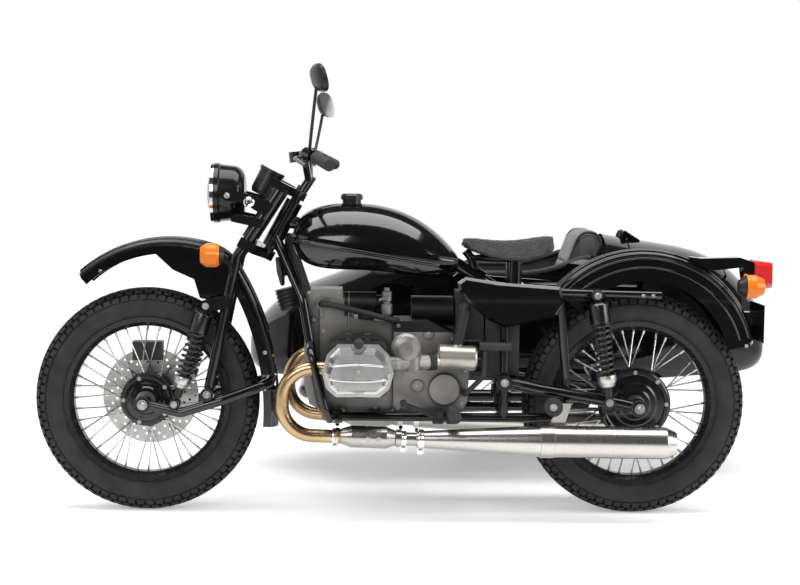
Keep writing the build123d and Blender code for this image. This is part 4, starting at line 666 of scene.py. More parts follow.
def tyre_shape(centre):
    """Section (radius, width) bent round the axle, less the groove depth where no block stands."""
    half = np.asarray(SECTION[::-1], float)
    whole = np.linalg.norm(np.diff(half, axis=0), axis=1).sum()
    edges = [e + d for low, high, _ in ROWS for e in (low, high) for d in (-EDGE, EDGE)]
    sidewall = np.linspace(SIDEWALL_FROM, whole, SIDEWALL_LINES)
    at = np.unique(np.clip(np.r_[0, edges, FIELD_LINES, sidewall], 0, whole))
    line = resampled(half, at)
    sides = np.vstack([line[::-1] * [1, -1], line[1:]])
    across = np.r_[-at[::-1], at[1:]]
    slope = np.gradient(sides, axis=0)
    normal = np.stack([slope[:, 1], -slope[:, 0]], -1)
    normal /= np.linalg.norm(normal, axis=1)[:, None]
    phase = (np.arange(BLOCKS)[:, None] + PITCH_STEPS).reshape(-1)
    block = np.zeros((len(phase), len(across)))
    for low, high, shift in ROWS:
        inside = (np.abs(across) >= low) & (np.abs(across) <= high)
        part = (phase + shift) % 1.0
        solid = (part < CROSS_GROOVE[0]) | (part > CROSS_GROOVE[1])
        block = np.maximum(block, inside[None, :] * solid[:, None])
    sink = np.where(np.abs(across) > TREAD_TO, 0.0, GROOVE * (1 - block))
    sink = sink * np.clip((SHALLOW_AT - np.abs(across)) / SHALLOW_OVER, SHALLOWEST, 1.0)
    radius = sides[:, 0] - sink * normal[:, 0]
    wide = sides[:, 1] - sink * normal[:, 1]
    angle = 2 * np.pi * phase / BLOCKS
    grid = np.stack([centre[0] + MM * radius * np.cos(angle)[:, None],
                     centre[1] + MM * wide, centre[2] + MM * radius * np.sin(angle)[:, None]], -1)
    return sheet(grid, wrap_u=True, wrap_v=True), np.broadcast_to(sink / GROOVE, grid.shape[:2])


def tyre_rubber():
    """Dusty rubber on the tread tops and painted shade in the grooves: the depth stored on the points darkens
    them.
    """
    made = Finish("tyre_rubber", IOR=1.45, Specular_IOR_Level=0.3)
    deep = made.node("ShaderNodeAttribute", {"attribute_name": "depth"}, out="Fac")
    dust, fine = made.noise(18.0, 5.0), made.noise(700.0, 2.0)
    top = made.blend(dust.step(0.3, 0.7), (0.015, 0.015, 0.0155), (0.028, 0.028, 0.028))
    # painted shade: points deep in a groove are darkened nearly to black
    made.set(Base_Color=made.blend(deep.step(0.15, 0.8), top, (0.004, 0.004, 0.004)),
             Roughness=0.50 + 0.2 * dust)
    return made.bump(fine, 0.0003, 0.4)


TYRE = tyre_rubber()
for which, joint_name in WHEEL_JOINTS.items():
    shape, depth = tyre_shape(joint_at[joint_name])
    made = piece(f"{which}_tyre_tread", [shape], f"wheel_{which}", TYRE, 28.0, depth)
    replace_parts(made, f"{which}_tyre")

# %% [markdown]
# ## Coil springs
# A spring leg is a damper inside a coil, under a deep cap. The coil is a wire wound on a helix, which solids
# only hint at with rings. Each leg is laid out by distances from its upper eye: cap, coil, collar, foot.

# %% spring legs
CAP_FROM, CAP_TO, COLLAR, COLLAR_LOW, FOOT = 24.0, 86.0, 84.0, 66.0, 50.0
EYE_R, EYE_HALF, COIL_PITCH, WIRE_R, ROD_R = 17.0, 11.5, 15.5, 4.6, 13
# node: body, upper eye (x, z), lower eye (x, z), y of each leg, cap radius, coil radius
LEGS = {"front_shocks": ("steering_head", (1316, 643), (1409, 345), (100, -100), 29.0, 27.0),
        "rear_shocks": ("chassis", (135, 689), (93, 364), (158, -158), 31.0, 29.0),
        "sidecar_shock": ("chassis", (215, 640), (315, 384), (-1048,), 27.0, 25.0)}
HALF_EYE = [(0, EYE_HALF - 2), (9, EYE_HALF - 2), (9.5, EYE_HALF), (EYE_R - 1, EYE_HALF),
            (EYE_R, EYE_HALF - 1)]
EYE_PROFILE = [(r, -a) for r, a in HALF_EYE] + HALF_EYE[::-1]
CAP_CHROME = brushed("cap_chrome", (0.07, 0.07, 0.073), rough=0.16, stretch=(60.0, 60.0, 400.0))


def spring_leg(upper, lower, cap_r, coil_r):
    """One leg from eye to eye: its coil, cap, collar and dark ends, each laid out along the leg in mm."""
    start, stop = bike(upper), bike(lower)
    run, long = stop - start, np.linalg.norm(stop - start) / MM
    wound = [start + run * along / long for along in (CAP_TO - 6, long - COLLAR + 6)]
    turns = round((long - CAP_TO - COLLAR) / COIL_PITCH)
    coil = helix(*wound, (coil_r - WIRE_R) * MM, WIRE_R * MM, turns)
    cap = [(0, CAP_FROM - 2), (cap_r - 6, CAP_FROM - 1), (cap_r - 1, CAP_FROM + 3), (cap_r, CAP_FROM + 7),
           (cap_r, CAP_TO - 1), (cap_r - 1, CAP_TO), (14, CAP_TO)]
    collar = [(12, long - COLLAR), (coil_r, long - COLLAR), (coil_r + 0.6, long - COLLAR + 2),
              (coil_r + 0.6, long - COLLAR_LOW), (coil_r - 1, long - COLLAR_LOW + 3),
              (coil_r - 7, long - FOOT), (12, long - FOOT)]
    rod = [(0, 20), (ROD_R, 20), (ROD_R, long - 20), (0, long - 20)]
    foot = [(0, long - FOOT), (coil_r - 8, long - FOOT - 2), (coil_r - 9, long - FOOT + 4),
            (9, long - FOOT + 8), (9, long - 12), (0, long - 12)]
    ends = [turned_mm(profile, upper, run, 24) for profile in (rod, foot)]
    ends += [turned_mm(EYE_PROFILE, eye, (0, 1, 0), 28) for eye in (upper, lower)]
    return coil, turned_mm(cap, upper, run, 40), turned_mm(collar, upper, run, 40), ends


for node_name, (body, top, low, sides_y, cap_r, coil_r) in LEGS.items():
    legs = [spring_leg([top[0], y, top[1]], [low[0], y, low[1]], cap_r, coil_r) for y in sides_y]
    coils, caps, collars, ends = zip(*legs)
    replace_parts(piece(f"{node_name}_coil", coils, body, LEG_BLACK), node_name)
    piece(f"{node_name}_ends", [part for leg in ends for part in leg], body, LEG_BLACK)
    piece(f"{node_name}_caps", caps, body, CAP_CHROME)
    piece(f"{node_name}_collars", collars, body, BRIGHT)

# %% [markdown]
# ## Bolts, nuts and small fittings
# Bare zinc hexagons stand out against the black and tell the eye how the machine is held together. A ray shot
# in from the side finds the skin of the solid that each bolt is in, so none floats and none is buried.

# %% bolts and nuts
ZINC = cast("zinc_bolt", (0.36, 0.36, 0.35), (0.50, 0.50, 0.49), rough=0.26, grain=600.0, depth=0.0001,
            metal=1.0)
# node, x, z, radius to the corners before scaling, height
BOLTS = [("link_arm", 1503, 345, 15, 12), ("link_arm", 1409, 345, 10, 7), ("link_arm", 1310, 376, 11, 8),
         ("fork", 1316, 643, 10, 7), ("fork", 1291, 695, 8, 6), ("fork", 1212, 646, 8, 6),
         ("front_fender", 1640, 742, 6, 4), ("front_fender", 1139, 497, 6, 4),
         ("swingarm", 410, 421, 12, 8), ("swingarm", 0, 345, 15, 13), ("swingarm", 93, 364, 10, 8),
         ("frame", 135, 689, 10, 8), ("frame", -8, 687, 6, 5), ("frame", -38, 687, 6, 5),
         ("rear_fender", -337, 531, 6, 4), ("crankcase", 1006, 682, 6, 4), ("crankcase", 914, 682, 6, 4),
         ("rocker_covers", 851, 480, 9, 7), ("mufflers", 264, 351, 9, 7), ("headlamp", 1252, 977, 9, 6),
         ("gearbox", 672, 402, 9, 6), ("gearbox", 640, 560, 8, 5), ("crankcase", 990, 600, 6, 5),
         ("crankcase", 986, 424, 6, 5), ("crankcase", 900, 322, 7, 5), ("crankcase", 1008, 540, 6, 4),
         ("crankcase", 960, 566, 6, 4), ("crankcase", 800, 330, 6, 4), ("gearbox", 732, 585, 6, 4),
         ("gearbox", 732, 330, 6, 4), ("gearbox", 565, 545, 6, 4), ("gearbox", 526, 450, 6, 4),
         ("gearbox", 536, 348, 6, 4), ("gearbox", 605, 300, 6, 4)]
# x, y, z of bolts on the exhaust box, the rear legs' eyes and the silencer's hanger
PLACED_BOLTS = [(822, 238, 261), (790, 236, 260), (135, 170, 689), (93, 170, 364), (264, 181, 351)]
PLACED_R, PLACED_HIGH, BOLT_SCALE = 8.0, 7.0, 0.72
STEERED = ("link_arm", "fork", "front_fender", "headlamp")
RAY_FROM = 2000.0


def struck(node_name, start, direction):
    """Where a ray from a place in the frame first meets a solid, or None."""
    solid = nodes[node_name]
    back = solid.matrix_world.inverted()
    hit, spot, _, _ = solid.ray_cast(back @ Vector(start), back.to_3x3() @ Vector(direction))
    return np.array(solid.matrix_world @ spot) if hit else None


def laid(node_name, starts, directions):
    """The spots where rays from these places, all one way or each its own, meet a solid."""
    ways = np.broadcast_to(np.asarray(directions, float), np.shape(starts))
    spots = [struck(node_name, start, way) for start, way in zip(starts, ways)]
    return np.array([spot for spot in spots if spot is not None])


def laid_on_side(node_name, x, z, side):
    """The spots on a solid's left or right skin at these x and z."""
    starts = bike(np.stack([x, np.full(len(x), side * RAY_FROM), z], -1))
    return laid(node_name, starts, (0, -side, 0))


def bolt(spot, direction, radius, height):
    """A washer and a hexagon with a bevelled crown, both turned profiles; six sides make the hexagon."""
    washer = [(0, 0.4), (1.45 * radius, 0.4), (1.45 * radius, -1.0), (0, -1.0)]
    head = [(0, height), (0.72 * radius, height), (radius, 0.78 * height), (radius, -1.0), (0, -1.0)]
    return [turned_shape(np.array(profile) * MM, spot, direction, sides)
            for profile, sides in ((washer, 14), (head, 6))]


heads = {"chassis": [], "steering_head": []}
for node_name, x, z, radius, height in BOLTS:
    body = "steering_head" if node_name in STEERED else "chassis"
    for side in (1, -1):
        for spot in laid_on_side(node_name, [x], [z], side):
            heads[body] += bolt(spot, (0, side, 0), BOLT_SCALE * radius, height)
for x, y, z in PLACED_BOLTS:
    for side in (1, -1):
        heads["chassis"] += bolt(bike([x, side * y, z]), (0, side, 0), PLACED_R, PLACED_HIGH)
for body, parts in heads.items():
    piece(f"{body}_bolts", parts, body, ZINC, 20.0)

# %% [markdown]
# ## Beads on tank and fenders
# Pressed steel is stiffened with raised beads, and they are what the eye follows along a black fender: each
# is a thin bright line. The tank's halves meet in a rolled seam. Rays find the skin, point by point, and a
# thin pipe is laid along it.

# %% beads over the crowns
BEAD_R, BEAD_STEPS, BEAD_MIN = 5.0, 70, 8
OUTSIDE, CROWN_FROM = 0.9, 0.3
# node: body, middle (x, z), first and last angle, y of each bead
FENDERS = {"front_fender": ("steering_head", (1503, 345), (44, 150), (22, -22, 50, -50)),
           "rear_fender": ("chassis", (-22, 463), (38, 166), (22, -22, 56, -56)),
           "sidecar_fender": ("chassis", (280, 351), (12, 168), (-1118, -1162, -1088, -1192))}
for node_name, (body, middle, angles, rows) in FENDERS.items():
    turn = np.radians(np.linspace(*angles, BEAD_STEPS))
    away = np.stack([np.cos(turn), 0 * turn, np.sin(turn)], -1)
    beads = []
    for y in rows:
        heart = bike([middle[0], y, middle[1]])
        line = laid(node_name, heart + OUTSIDE * away, -away)
        line = line[np.linalg.norm(line - heart, axis=1) > CROWN_FROM]
        if len(line) > BEAD_MIN:
            beads.append(pipe(line, BEAD_R * MM, 8))
    piece(f"{node_name}_beads", beads, body, GLOSS, 60.0)

# %% [markdown]
# ## Side beads and tank seam
# The rear fender has two more beads down each side, at a fixed distance in from its crown. These, and the
# tank's seam, face sideways, so their rays come in level from the left and the right.

# %% side beads and seam
REAR_FENDER_R, INSETS, SIDE_BEAD_R, SIDE_ANGLES, SIDE_FROM = 356, (22, 50), 3.5, (42, 164), 0.05
SEAM_X, SEAM_Z, SEAM_STEPS, SEAM_R, SEAM_OUT = (1052, 612), (846, 772), 60, 6.5, 2.5
turn = np.radians(np.linspace(*SIDE_ANGLES, BEAD_STEPS))
rear_x, rear_z = FENDERS["rear_fender"][1]
side_beads = []
for inset in INSETS:
    radius = REAR_FENDER_R - inset
    bead_x, bead_z = rear_x + radius * np.cos(turn), rear_z + radius * np.sin(turn)
    for side in (1, -1):
        line = laid_on_side("rear_fender", bead_x, bead_z, side)
        line = line[side * (line[:, 1] - REAR_AXLE[1]) > SIDE_FROM]
        if len(line) > BEAD_MIN:
            side_beads.append(pipe(line, SIDE_BEAD_R * MM, 8))
piece("rear_fender_side_beads", side_beads, "chassis", GLOSS, 60.0)
seams = []
for side in (1, -1):
    line = laid_on_side("fuel_tank", np.linspace(*SEAM_X, SEAM_STEPS), np.linspace(*SEAM_Z, SEAM_STEPS), side)
    seams.append(pipe(line + [0, side * SEAM_OUT * MM, 0], SEAM_R * MM, 12))
piece("tank_seam", seams, "chassis", GLOSS, 60.0)

# %% [markdown]
# ## The cockpit's rolled edge
# The tub's opening ends in a thick rolled edge that a passenger grips. From the cockpit's middle, rays are
# dropped further and further out in every direction until they land on the deck, which marks the edge.

# %% rolled edge
COCKPIT, ROLL_R, ROUND = (410, TUB_MIDDLE), 8.5, 150
REACHES, DROP_FROM, DECK_Z, ROLL_FROM_X = np.arange(120.0, 480.0, 4.0), 1400, 0.62, 60
AVERAGED = range(-2, 3)


def rim_mark(turn):
    """The first spot on the deck along one direction from the cockpit's middle, or None."""
    for reach in REACHES:
        start = bike([COCKPIT[0] + reach * np.cos(turn), COCKPIT[1] + reach * np.sin(turn), DROP_FROM])
        spot = struck("sidecar_tub", start, (0, 0, -1))
        if spot is not None and spot[2] > DECK_Z:
            return spot
    return None


marks = [rim_mark(turn) for turn in np.linspace(0, 2 * np.pi, ROUND, endpoint=False)]
marks = np.array([mark for mark in marks if mark is not None])
marks = np.mean([np.roll(marks, k, axis=0) for k in AVERAGED], axis=0)
marks = marks[marks[:, 0] > bike([ROLL_FROM_X, 0, 0])[0]]
across = marks - bike([*COCKPIT, 0])
order = np.argsort(np.arctan2(across[:, 1], across[:, 0]))
piece("cockpit_roll", [pipe(marks[order], ROLL_R * MM, 12)], "chassis", RUBBER, 60.0)

# %% [markdown]
# ## Mirrors
# A mirror is a shallow moulded shell, round at its edge, on a bent stem. The shell is an oval that is drawn
# in towards its back, with flat glass on the side that faces the rider.

# %% mirrors
MIRROR_TURN, MIRROR_TIP, MIRROR_WIDE, MIRROR_TALL, MIRROR_DEEP, GLASS_BACK = 20.0, -0.27, 59.0, 42.0, 24.0, 12
OVAL_POWER, STEM_R = 0.75, 5.0
# share of the oval, share of the depth, from the glass's middle round the edge to the back
SHELL_STEPS = [(0, 0.0), (0.93, 0.0), (0.97, 0.01), (1.0, 0.06), (0.98, 0.2), (0.9, 0.5), (0.74, 0.78),
               (0.45, 0.95), (0, 1.0)]
STEMS = {1: [(1000, 262, 1114.3), (990, 300, 1210), (976, 336, 1320)],
         -1: [(1000, -262, 1114.3), (988, -296, 1170), (974, -330, 1262)]}


def mirror_shell(side, middle):
    """Ovals, |cos| and |sin| to a power, stacked along the way back and scaled by the shell's steps."""
    turn = np.radians(side * MIRROR_TURN)
    back = np.array([np.cos(turn), np.sin(turn), MIRROR_TIP])
    back /= np.linalg.norm(back)
    across = np.array([-np.sin(turn), np.cos(turn), 0])
    t = np.linspace(0, 2 * np.pi, 48, endpoint=False)
    wide, tall = (np.sign(f) * np.abs(f) ** OVAL_POWER for f in (np.cos(t), np.sin(t)))
    oval = MIRROR_WIDE * wide[:, None] * across + MIRROR_TALL * tall[:, None] * np.cross(back, across)
    grid = [np.array(middle) + s * oval + (MIRROR_DEEP * d - GLASS_BACK) * back for s, d in SHELL_STEPS]
    return sheet(bike(np.array(grid)), wrap_v=True)


def mirror_stem(stem):
    """A bent rod: the curve with one handle, (1-t) squared, 2t(1-t) and t squared of foot, knee and head."""
    foot, knee, head = (np.array(point, float) for point in stem)
    t = np.linspace(0, 1, 24)[:, None]
    return pipe(bike((1 - t) ** 2 * foot + 2 * t * (1 - t) * knee + t ** 2 * head), STEM_R * MM, 12)


shells = []
for side, stem in STEMS.items():
    shells += [mirror_shell(side, stem[-1]), mirror_stem(stem)]
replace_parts(piece("mirror_shells", shells, "steering_head", MIRROR, 40.0), "mirrors")

# %% [markdown]
# ## Wheel fittings
# Each spoke screws into a nipple at the rim. Hub covers hide the brake drum: spun discs with stepped rings
# and a ring of screws. The nipples repeat the spokes' own rule: forty of them, evenly spaced, pulled left and
# right.

# %% nipples and hub covers
SPOKES, LEAN, LEAN_R, RIM_SEAT, RIM_Y, FLANGE_EDGE = 40, 28.0, 40, 230, 6, 6
NIPPLE_LONG, NIPPLE_NECK, NIPPLE_RADII = 20, 18, np.array([2.6, 3.7, 3.7])
SCREW_R, SCREW_HIGH = 4.5, 4
DRUM = [(31, 52), (90, 49), (107, 48.5), (108, 50), (108, 55), (104, 57), (94, 57), (91, 55), (70, 57),
        (64, 61), (50, 62), (44, 66), (31, 67)]
DISC_HUB = [(31, 50), (60, 48.5), (77, 47), (78, 49), (78, 53), (74, 55), (66, 55), (64, 53), (56, 54),
            (52, 57), (44, 58), (40, 62), (31, 63)]
# wheel: cover profile, screws' y, screws' circle, screws, left and right flange radius, flanges' y
HUBS = {"front": (DISC_HUB, 56, 70.0, 5, 80, 80, 40), "rear": (DRUM, 57.5, 98.0, 8, 112, 98, 42),
        "sidecar": (DRUM, 57.5, 98.0, 8, 112, 98, 42)}


def nipple(i, centre, left_r, right_r, flange_y):
    """The last stretch of spoke number i, from a leaning hole in the hub's flange to its seat in the rim."""
    hand = 1 if i % 2 == 0 else -1
    hub_r = (left_r if hand > 0 else right_r) - FLANGE_EDGE
    lean = LEAN if (i // 2) % 2 == 0 else -LEAN
    b = 2 * np.pi * i / SPOKES
    a = b + np.radians(lean * LEAN_R / hub_r)
    low = np.array([hub_r * np.cos(a), hand * flange_y, hub_r * np.sin(a)])
    high = np.array([RIM_SEAT * np.cos(b), hand * RIM_Y, RIM_SEAT * np.sin(b)])
    step = (high - low) / np.linalg.norm(high - low)
    path = centre + MM * np.array([high - NIPPLE_LONG * step, high - NIPPLE_NECK * step, high])
    return pipe(path, NIPPLE_RADII * MM, 6)


for which, joint_name in WHEEL_JOINTS.items():
    centre = joint_at[joint_name]
    profile, screw_y, screw_ring, count, left_r, right_r, flange_y = HUBS[which]
    nipples = [nipple(i, centre, left_r, right_r, flange_y) for i in range(SPOKES)]
    piece(f"{which}_nipples", nipples, f"wheel_{which}", BRIGHT, 20.0)
    cover = turned_shape(np.array(profile + profile[:1]) * MM, centre, (0, 1, 0), 64)
    piece(f"{which}_hub_cover", [cover], f"wheel_{which}", TUBE_BLACK, 25.0)
    screws = []
    for t in 2 * np.pi * np.arange(count) / count:
        spot = centre + MM * np.array([screw_ring * np.cos(t), screw_y, screw_ring * np.sin(t)])
        screws += bolt(spot, (0, 1, 0), SCREW_R, SCREW_HIGH)
    piece(f"{which}_hub_screws", screws, f"wheel_{which}", ZINC, 20.0)

# %% [markdown]
# ## Lamp bowl and ignition switch
# Behind the fluted glass sits a bright bowl with a bulb cap, and the key turns in a chromed ring on the
# lamp's ear. Both are round, so each is one profile turned about a line.

# %% lamp bowl and switch
BOWL = [(0, 6), (16, 6), (18, 5), (18, 3.5), (40, 2.2), (60, 1.4), (82, 0.8), (82, 0.4), (0, 0.4)]
SWITCH = [(0, 3), (7, 3), (8, 5), (13, 6), (16, 4), (17, 0), (17, -6), (0, -6)]
BOWL_AT, SWITCH_AT = [1303, 0, 982], [1186, 121, 958]
bowl, switch = turned_mm(BOWL, BOWL_AT, (1, 0, 0), 64), turned_mm(SWITCH, SWITCH_AT, (0, 1, 0), 36)
piece("lamp_bowl", [bowl], "steering_head", CHROME)
piece("ignition_switch", [switch], "steering_head", CHROME)

# %% [markdown]
# ## Ribs on the rocker covers, lines on the crankcase
# Castings carry raised ribs and the edges of cast panels. They are low, so a thin pipe half sunk in the skin
# gives the same bright line. The right cylinder stands further back than the left one.

# %% ribs and casting lines
CYLINDER_X, RIB_HALF, RIB_R, RIB_STEPS = 851, 84, 3.2, 40
RIBS = [(501, -6), (453, 6)]
LINE_R, LINE_STEPS = 1.8, 60
PANEL = [(992, 652), (960, 652), (960, 606), (992, 606), (992, 652)]
JOINT = [(884, 688), (884, 566)]
ribs, lines = [], []
for side, cylinder_x in ((1, CYLINDER_X), (-1, CYLINDER_X - STAGGER)):
    u = np.linspace(-1, 1, RIB_STEPS)
    for middle_z, bend in RIBS:
        line = laid_on_side("rocker_covers", cylinder_x + RIB_HALF * u, middle_z + bend * u * u, side)
        ribs.append(pipe(line, RIB_R * MM, 10))
    for outline in (PANEL, JOINT):
        lines.append(pipe(laid_on_side("crankcase", *spread(outline, LINE_STEPS).T, side), LINE_R * MM, 8))
piece("rocker_cover_ribs", ribs, "chassis", POLISHED, 60.0)
piece("crankcase_seams", lines, "chassis", CAST, 60.0)

# %% [markdown]
# ## Exhaust clamps
# Band clamps hold pipe, box and silencer together. A band is a short ring with raised edges, turned about the
# pipe's own line, and its bolt hangs below.

# %% clamps
PIPE_SLOPE = (0.068, 0.039)
CLAMP_BOLT_R, CLAMP_BOLT_HIGH, CLAMP_DROP, CLAMP_OUT = 7.0, 12.0, 10, 3
CLAMPS = [(921, 215.3, 263.9, 20), (716, 201.4, 256, 20), (664, 198, 254, 26)]
clamps = []
for side in (1, -1):
    for x, y, z, r in CLAMPS:
        band = [(r - 0.6, -8), (r + 4, -8), (r + 5, -5), (r + 3.4, 0), (r + 5, 5), (r + 4, 8), (r - 0.6, 8),
                (r - 0.6, -8)]
        clamps.append(turned_mm(band, [x, side * y, z], (1, PIPE_SLOPE[0] * side, PIPE_SLOPE[1]), 36))
        clamps += bolt(bike([x, side * (y + CLAMP_OUT), z - r - CLAMP_DROP]), (0, side, 0), CLAMP_BOLT_R,
                       CLAMP_BOLT_HIGH)
piece("exhaust_clamps", clamps, "chassis", CHROME)

# %% [markdown]
# ## Rubber caps, boots and pads
# A rubber cap covers the plug in the notch of each rocker cover, ribbed boots seal the push-rod tubes, and a
# rubber disc carries the silencer's hanger. All are turned profiles with rolled edges.

# %% rubber parts
PLUG_CAP = [(0, 44), (9, 44), (12, 41), (13, 30), (11, 28), (13, 26), (13, 12), (15, 10), (15, 0), (0, 0)]
TUBE_BOOT = [(11.5, 0), (19, 0), (20.5, 3), (20.5, 6), (17, 9), (20, 12), (20, 16), (15, 20), (11.5, 22),
             (11.5, 0)]
HANGER_PAD = [(0, 0), (27, 0), (29, 2), (29, 10), (25, 13), (14, 13), (12, 11), (0, 11)]
TUBES_AT, TUBE_Y, PLUG_Y, PLUG_Z = (-25, 31), 104.5, 352, 558
HANGER_X, HANGER_Y, HANGER_Z = 264, 168.5, 351
caps, tubes, pads = [], [], []
for side, x in ((1, CYLINDER_X), (-1, CYLINDER_X - STAGGER)):
    way = (0, side, 0)
    caps.append(turned_mm(PLUG_CAP, [x, side * PLUG_Y, PLUG_Z], way, 24))
    tubes += [turned_mm(TUBE_BOOT, [x + dx, side * TUBE_Y, PORT_Z], way, 28) for dx in TUBES_AT]
    pads.append(turned_mm(HANGER_PAD, [HANGER_X, side * HANGER_Y, HANGER_Z], way, 36))
piece("plug_caps_and_boots", caps + tubes + pads, "chassis", RUBBER)

# %% [markdown]
# ## Horn, breather, wiring and fuel tap
# Under the tank hang the small fittings that make the engine bay look busy. Round ones are turned. Hoses and
# wires are pipes carried along a few points.

# %% engine bay
HORN = [(0, 0), (16, 0), (18, 10), (42, 14), (45, 18), (45, 24), (41, 27), (38, 25), (20, 26), (14, 30),
        (0, 31)]
piece("horn", [turned_mm(HORN, [1076, 26, 748], (1, 0, -0.2), 40)], "chassis", PLASTIC)
BREATHER = [(970, 70, 648), (962, 98, 652), (930, 108, 648), (860, 112, 632), (780, 112, 612),
            (745, 100, 604), (735, 80, 602)]
BREATHER_R, WIRES, LEVER_R = 9.0, 6, 4.5
piece("breather_pipe", [pipe(spread(bike(BREATHER), 40), BREATHER_R * MM, 14)], "chassis", RUBBER)
strands = []
for i in range(WIRES):
    route = [(1082 - 4 * i, 12 * i - 30, 860), (1078 - 8 * i, 14 * i - 36, 780),
             (1060 - 10 * i, 15 * i - 40, 700), (1030 - 8 * i, 15 * i - 40, 640)]
    strands.append(pipe(bike(route), (5 + i % 3) * MM, 10))
FIN_R, FIN_OUT, FIN_PITCH, FINS = 30, 5, 6, 12
cooling_fins = [(FIN_R + FIN_OUT * (k % 2), k * FIN_PITCH) for k in range(FINS)]
regulator = turned_mm([(0, 0), *cooling_fins, (0, FIN_PITCH * (FINS - 1))], [1064, 20, 628], (0.25, 0, 1), 40)
piece("wiring_and_regulator", [*strands, regulator], "chassis", PLASTIC)
TAP = [(0, 88), (9, 88), (9, 78), (15, 76), (15, 50), (11, 46), (11, 40), (17, 38), (17, 14), (14, 6), (8, 2),
       (0, 0)]
lever = pipe(bike([(760, 78, 672), (768, 96, 670), (780, 98, 668), (792, 98, 664)]), LEVER_R * MM, 10)
tap = turned_mm(TAP, [768, 78, 612], (0, 0, 1), 28)
piece("fuel_tap", [tap, lever], "chassis", CAST)

# %% [markdown]
# ## Leather and cushions
# Stuffed pieces are not hard: the cover is stretched over foam, so it crowns between its seams. Each cushion
# starts a little smaller than its solid, as a closed net of points. It is remeshed, blown up by a short cloth
# run with a little pressure and no weight, and held to a few millimetres of movement. Seams and channels are
# pressed in along the normals after that.

# %% cushion maker
SIM_FRAMES, PRESSURE, CLOTH_QUALITY = 20, 4.0, 4
VOXEL = 0.0055
DRAW_POWER, DRAW_ROOT = 7.0, 2.4


def drawn_in(share):
    """How far a section is drawn in to its centre: full in the middle, closing fast near either end."""
    return np.maximum(0.0, 1 - np.abs(share) ** DRAW_POWER) ** (1 / DRAW_ROOT)


def stuffed(loop, centre, y_middle, half, steps=48):
    """A closed loop in x and z carried across y and drawn in to its centre at both ends."""
    v = np.sin(np.linspace(-np.pi / 2, np.pi / 2, steps))
    loop = np.asarray(loop, float)
    x = centre[0] + drawn_in(v)[:, None] * (loop[None, :, 0] - centre[0])
    z = centre[1] + drawn_in(v)[:, None] * (loop[None, :, 1] - centre[1])
    y = np.broadcast_to((y_middle + half * v)[:, None], x.shape)
    return sheet(bike(np.stack([x, y, z], -1)), wrap_v=True)


def softened(corners, radius, spacing=8.0):
    """A closed polyline with its corners averaged away over about this radius, evenly spaced."""
    closed = np.vstack([corners, corners[:1]]).astype(float)
    reach = np.r_[0, np.cumsum(np.linalg.norm(np.diff(closed, axis=0), axis=1))]
    even = np.arange(0, reach[-1], spacing)
    line = np.stack([np.interp(even, reach, closed[:, i]) for i in range(2)], -1)
    reach_steps = max(1, int(radius / spacing))
    window = [np.roll(line, k, axis=0) for k in range(-reach_steps, reach_steps + 1)]
    return np.mean(window, axis=0)


def blown_up(made, start, limit):
    """The move of each point in a short cloth run with pressure and no weight, held to a limit."""
    cloth = made.modifiers.new("cloth", "CLOTH")
    cloth.settings.use_pressure, cloth.settings.uniform_pressure_force = True, PRESSURE
    cloth.settings.effector_weights.gravity = 0.0
    cloth.settings.quality = CLOTH_QUALITY
    cloth.point_cache.frame_start, cloth.point_cache.frame_end = 1, SIM_FRAMES
    for number in range(1, SIM_FRAMES + 1):
        bpy.context.scene.frame_set(number)
    blown = made.evaluated_get(bpy.context.evaluated_depsgraph_get()).data
    moved = np.empty(start.size)
    blown.vertices.foreach_get("co", moved)
    made.modifiers.remove(cloth)
    bpy.context.scene.frame_set(1)
    shift = moved.reshape(-1, 3) - start
    far = np.linalg.norm(shift, axis=1)[:, None]
    return shift * np.minimum(1.0, limit / np.maximum(far, 1e-9))


def cushion(name, part, node_name, finish, press, limit):
    """Net, voxel remesh, cloth pressure, pressed seams, then one subdivision."""
    made = piece(name, [part], "chassis", finish, 180.0)
    bpy.context.view_layer.objects.active = made
    made.data.remesh_voxel_size = VOXEL
    with bpy.context.temp_override(active_object=made, object=made, selected_objects=[made]):
        bpy.ops.object.voxel_remesh()
    mesh = made.data
    count = len(mesh.vertices)
    start, normal = np.empty(count * 3), np.empty(count * 3)
    mesh.vertices.foreach_get("co", start)
    start = start.reshape(-1, 3)
    shift = blown_up(made, start, limit)
    mesh.vertices.foreach_set("co", (start + shift).ravel())
    mesh.update()
    mesh.vertices.foreach_get("normal", normal)
    depth = press((start - BIKE_ORIGIN) / MM)
    mesh.vertices.foreach_set("co", (start + shift - MM * depth[:, None] * normal.reshape(-1, 3)).ravel())
    mesh.shade_smooth()
    smooth = made.modifiers.new("smooth", "SUBSURF")
    smooth.levels = smooth.render_levels = 1
    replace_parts(made, node_name)
    print(name, count, "points, moved", round(float(np.abs(shift).max()), 4))
    return made


def groove(distance, width):
    """A rounded valley: one at distance zero, nothing beyond the width."""
    return np.maximum(0.0, 1 - (distance / width) ** 2) ** 2


# %% [markdown]
# ## Leather, plain and two-tone
# Leather is a net of tiny cells with wandering creases. The saddle carries a quilted diamond stitch, and the
# sidecar's backrest has a grey front between dark sides.

# %% leather finishes


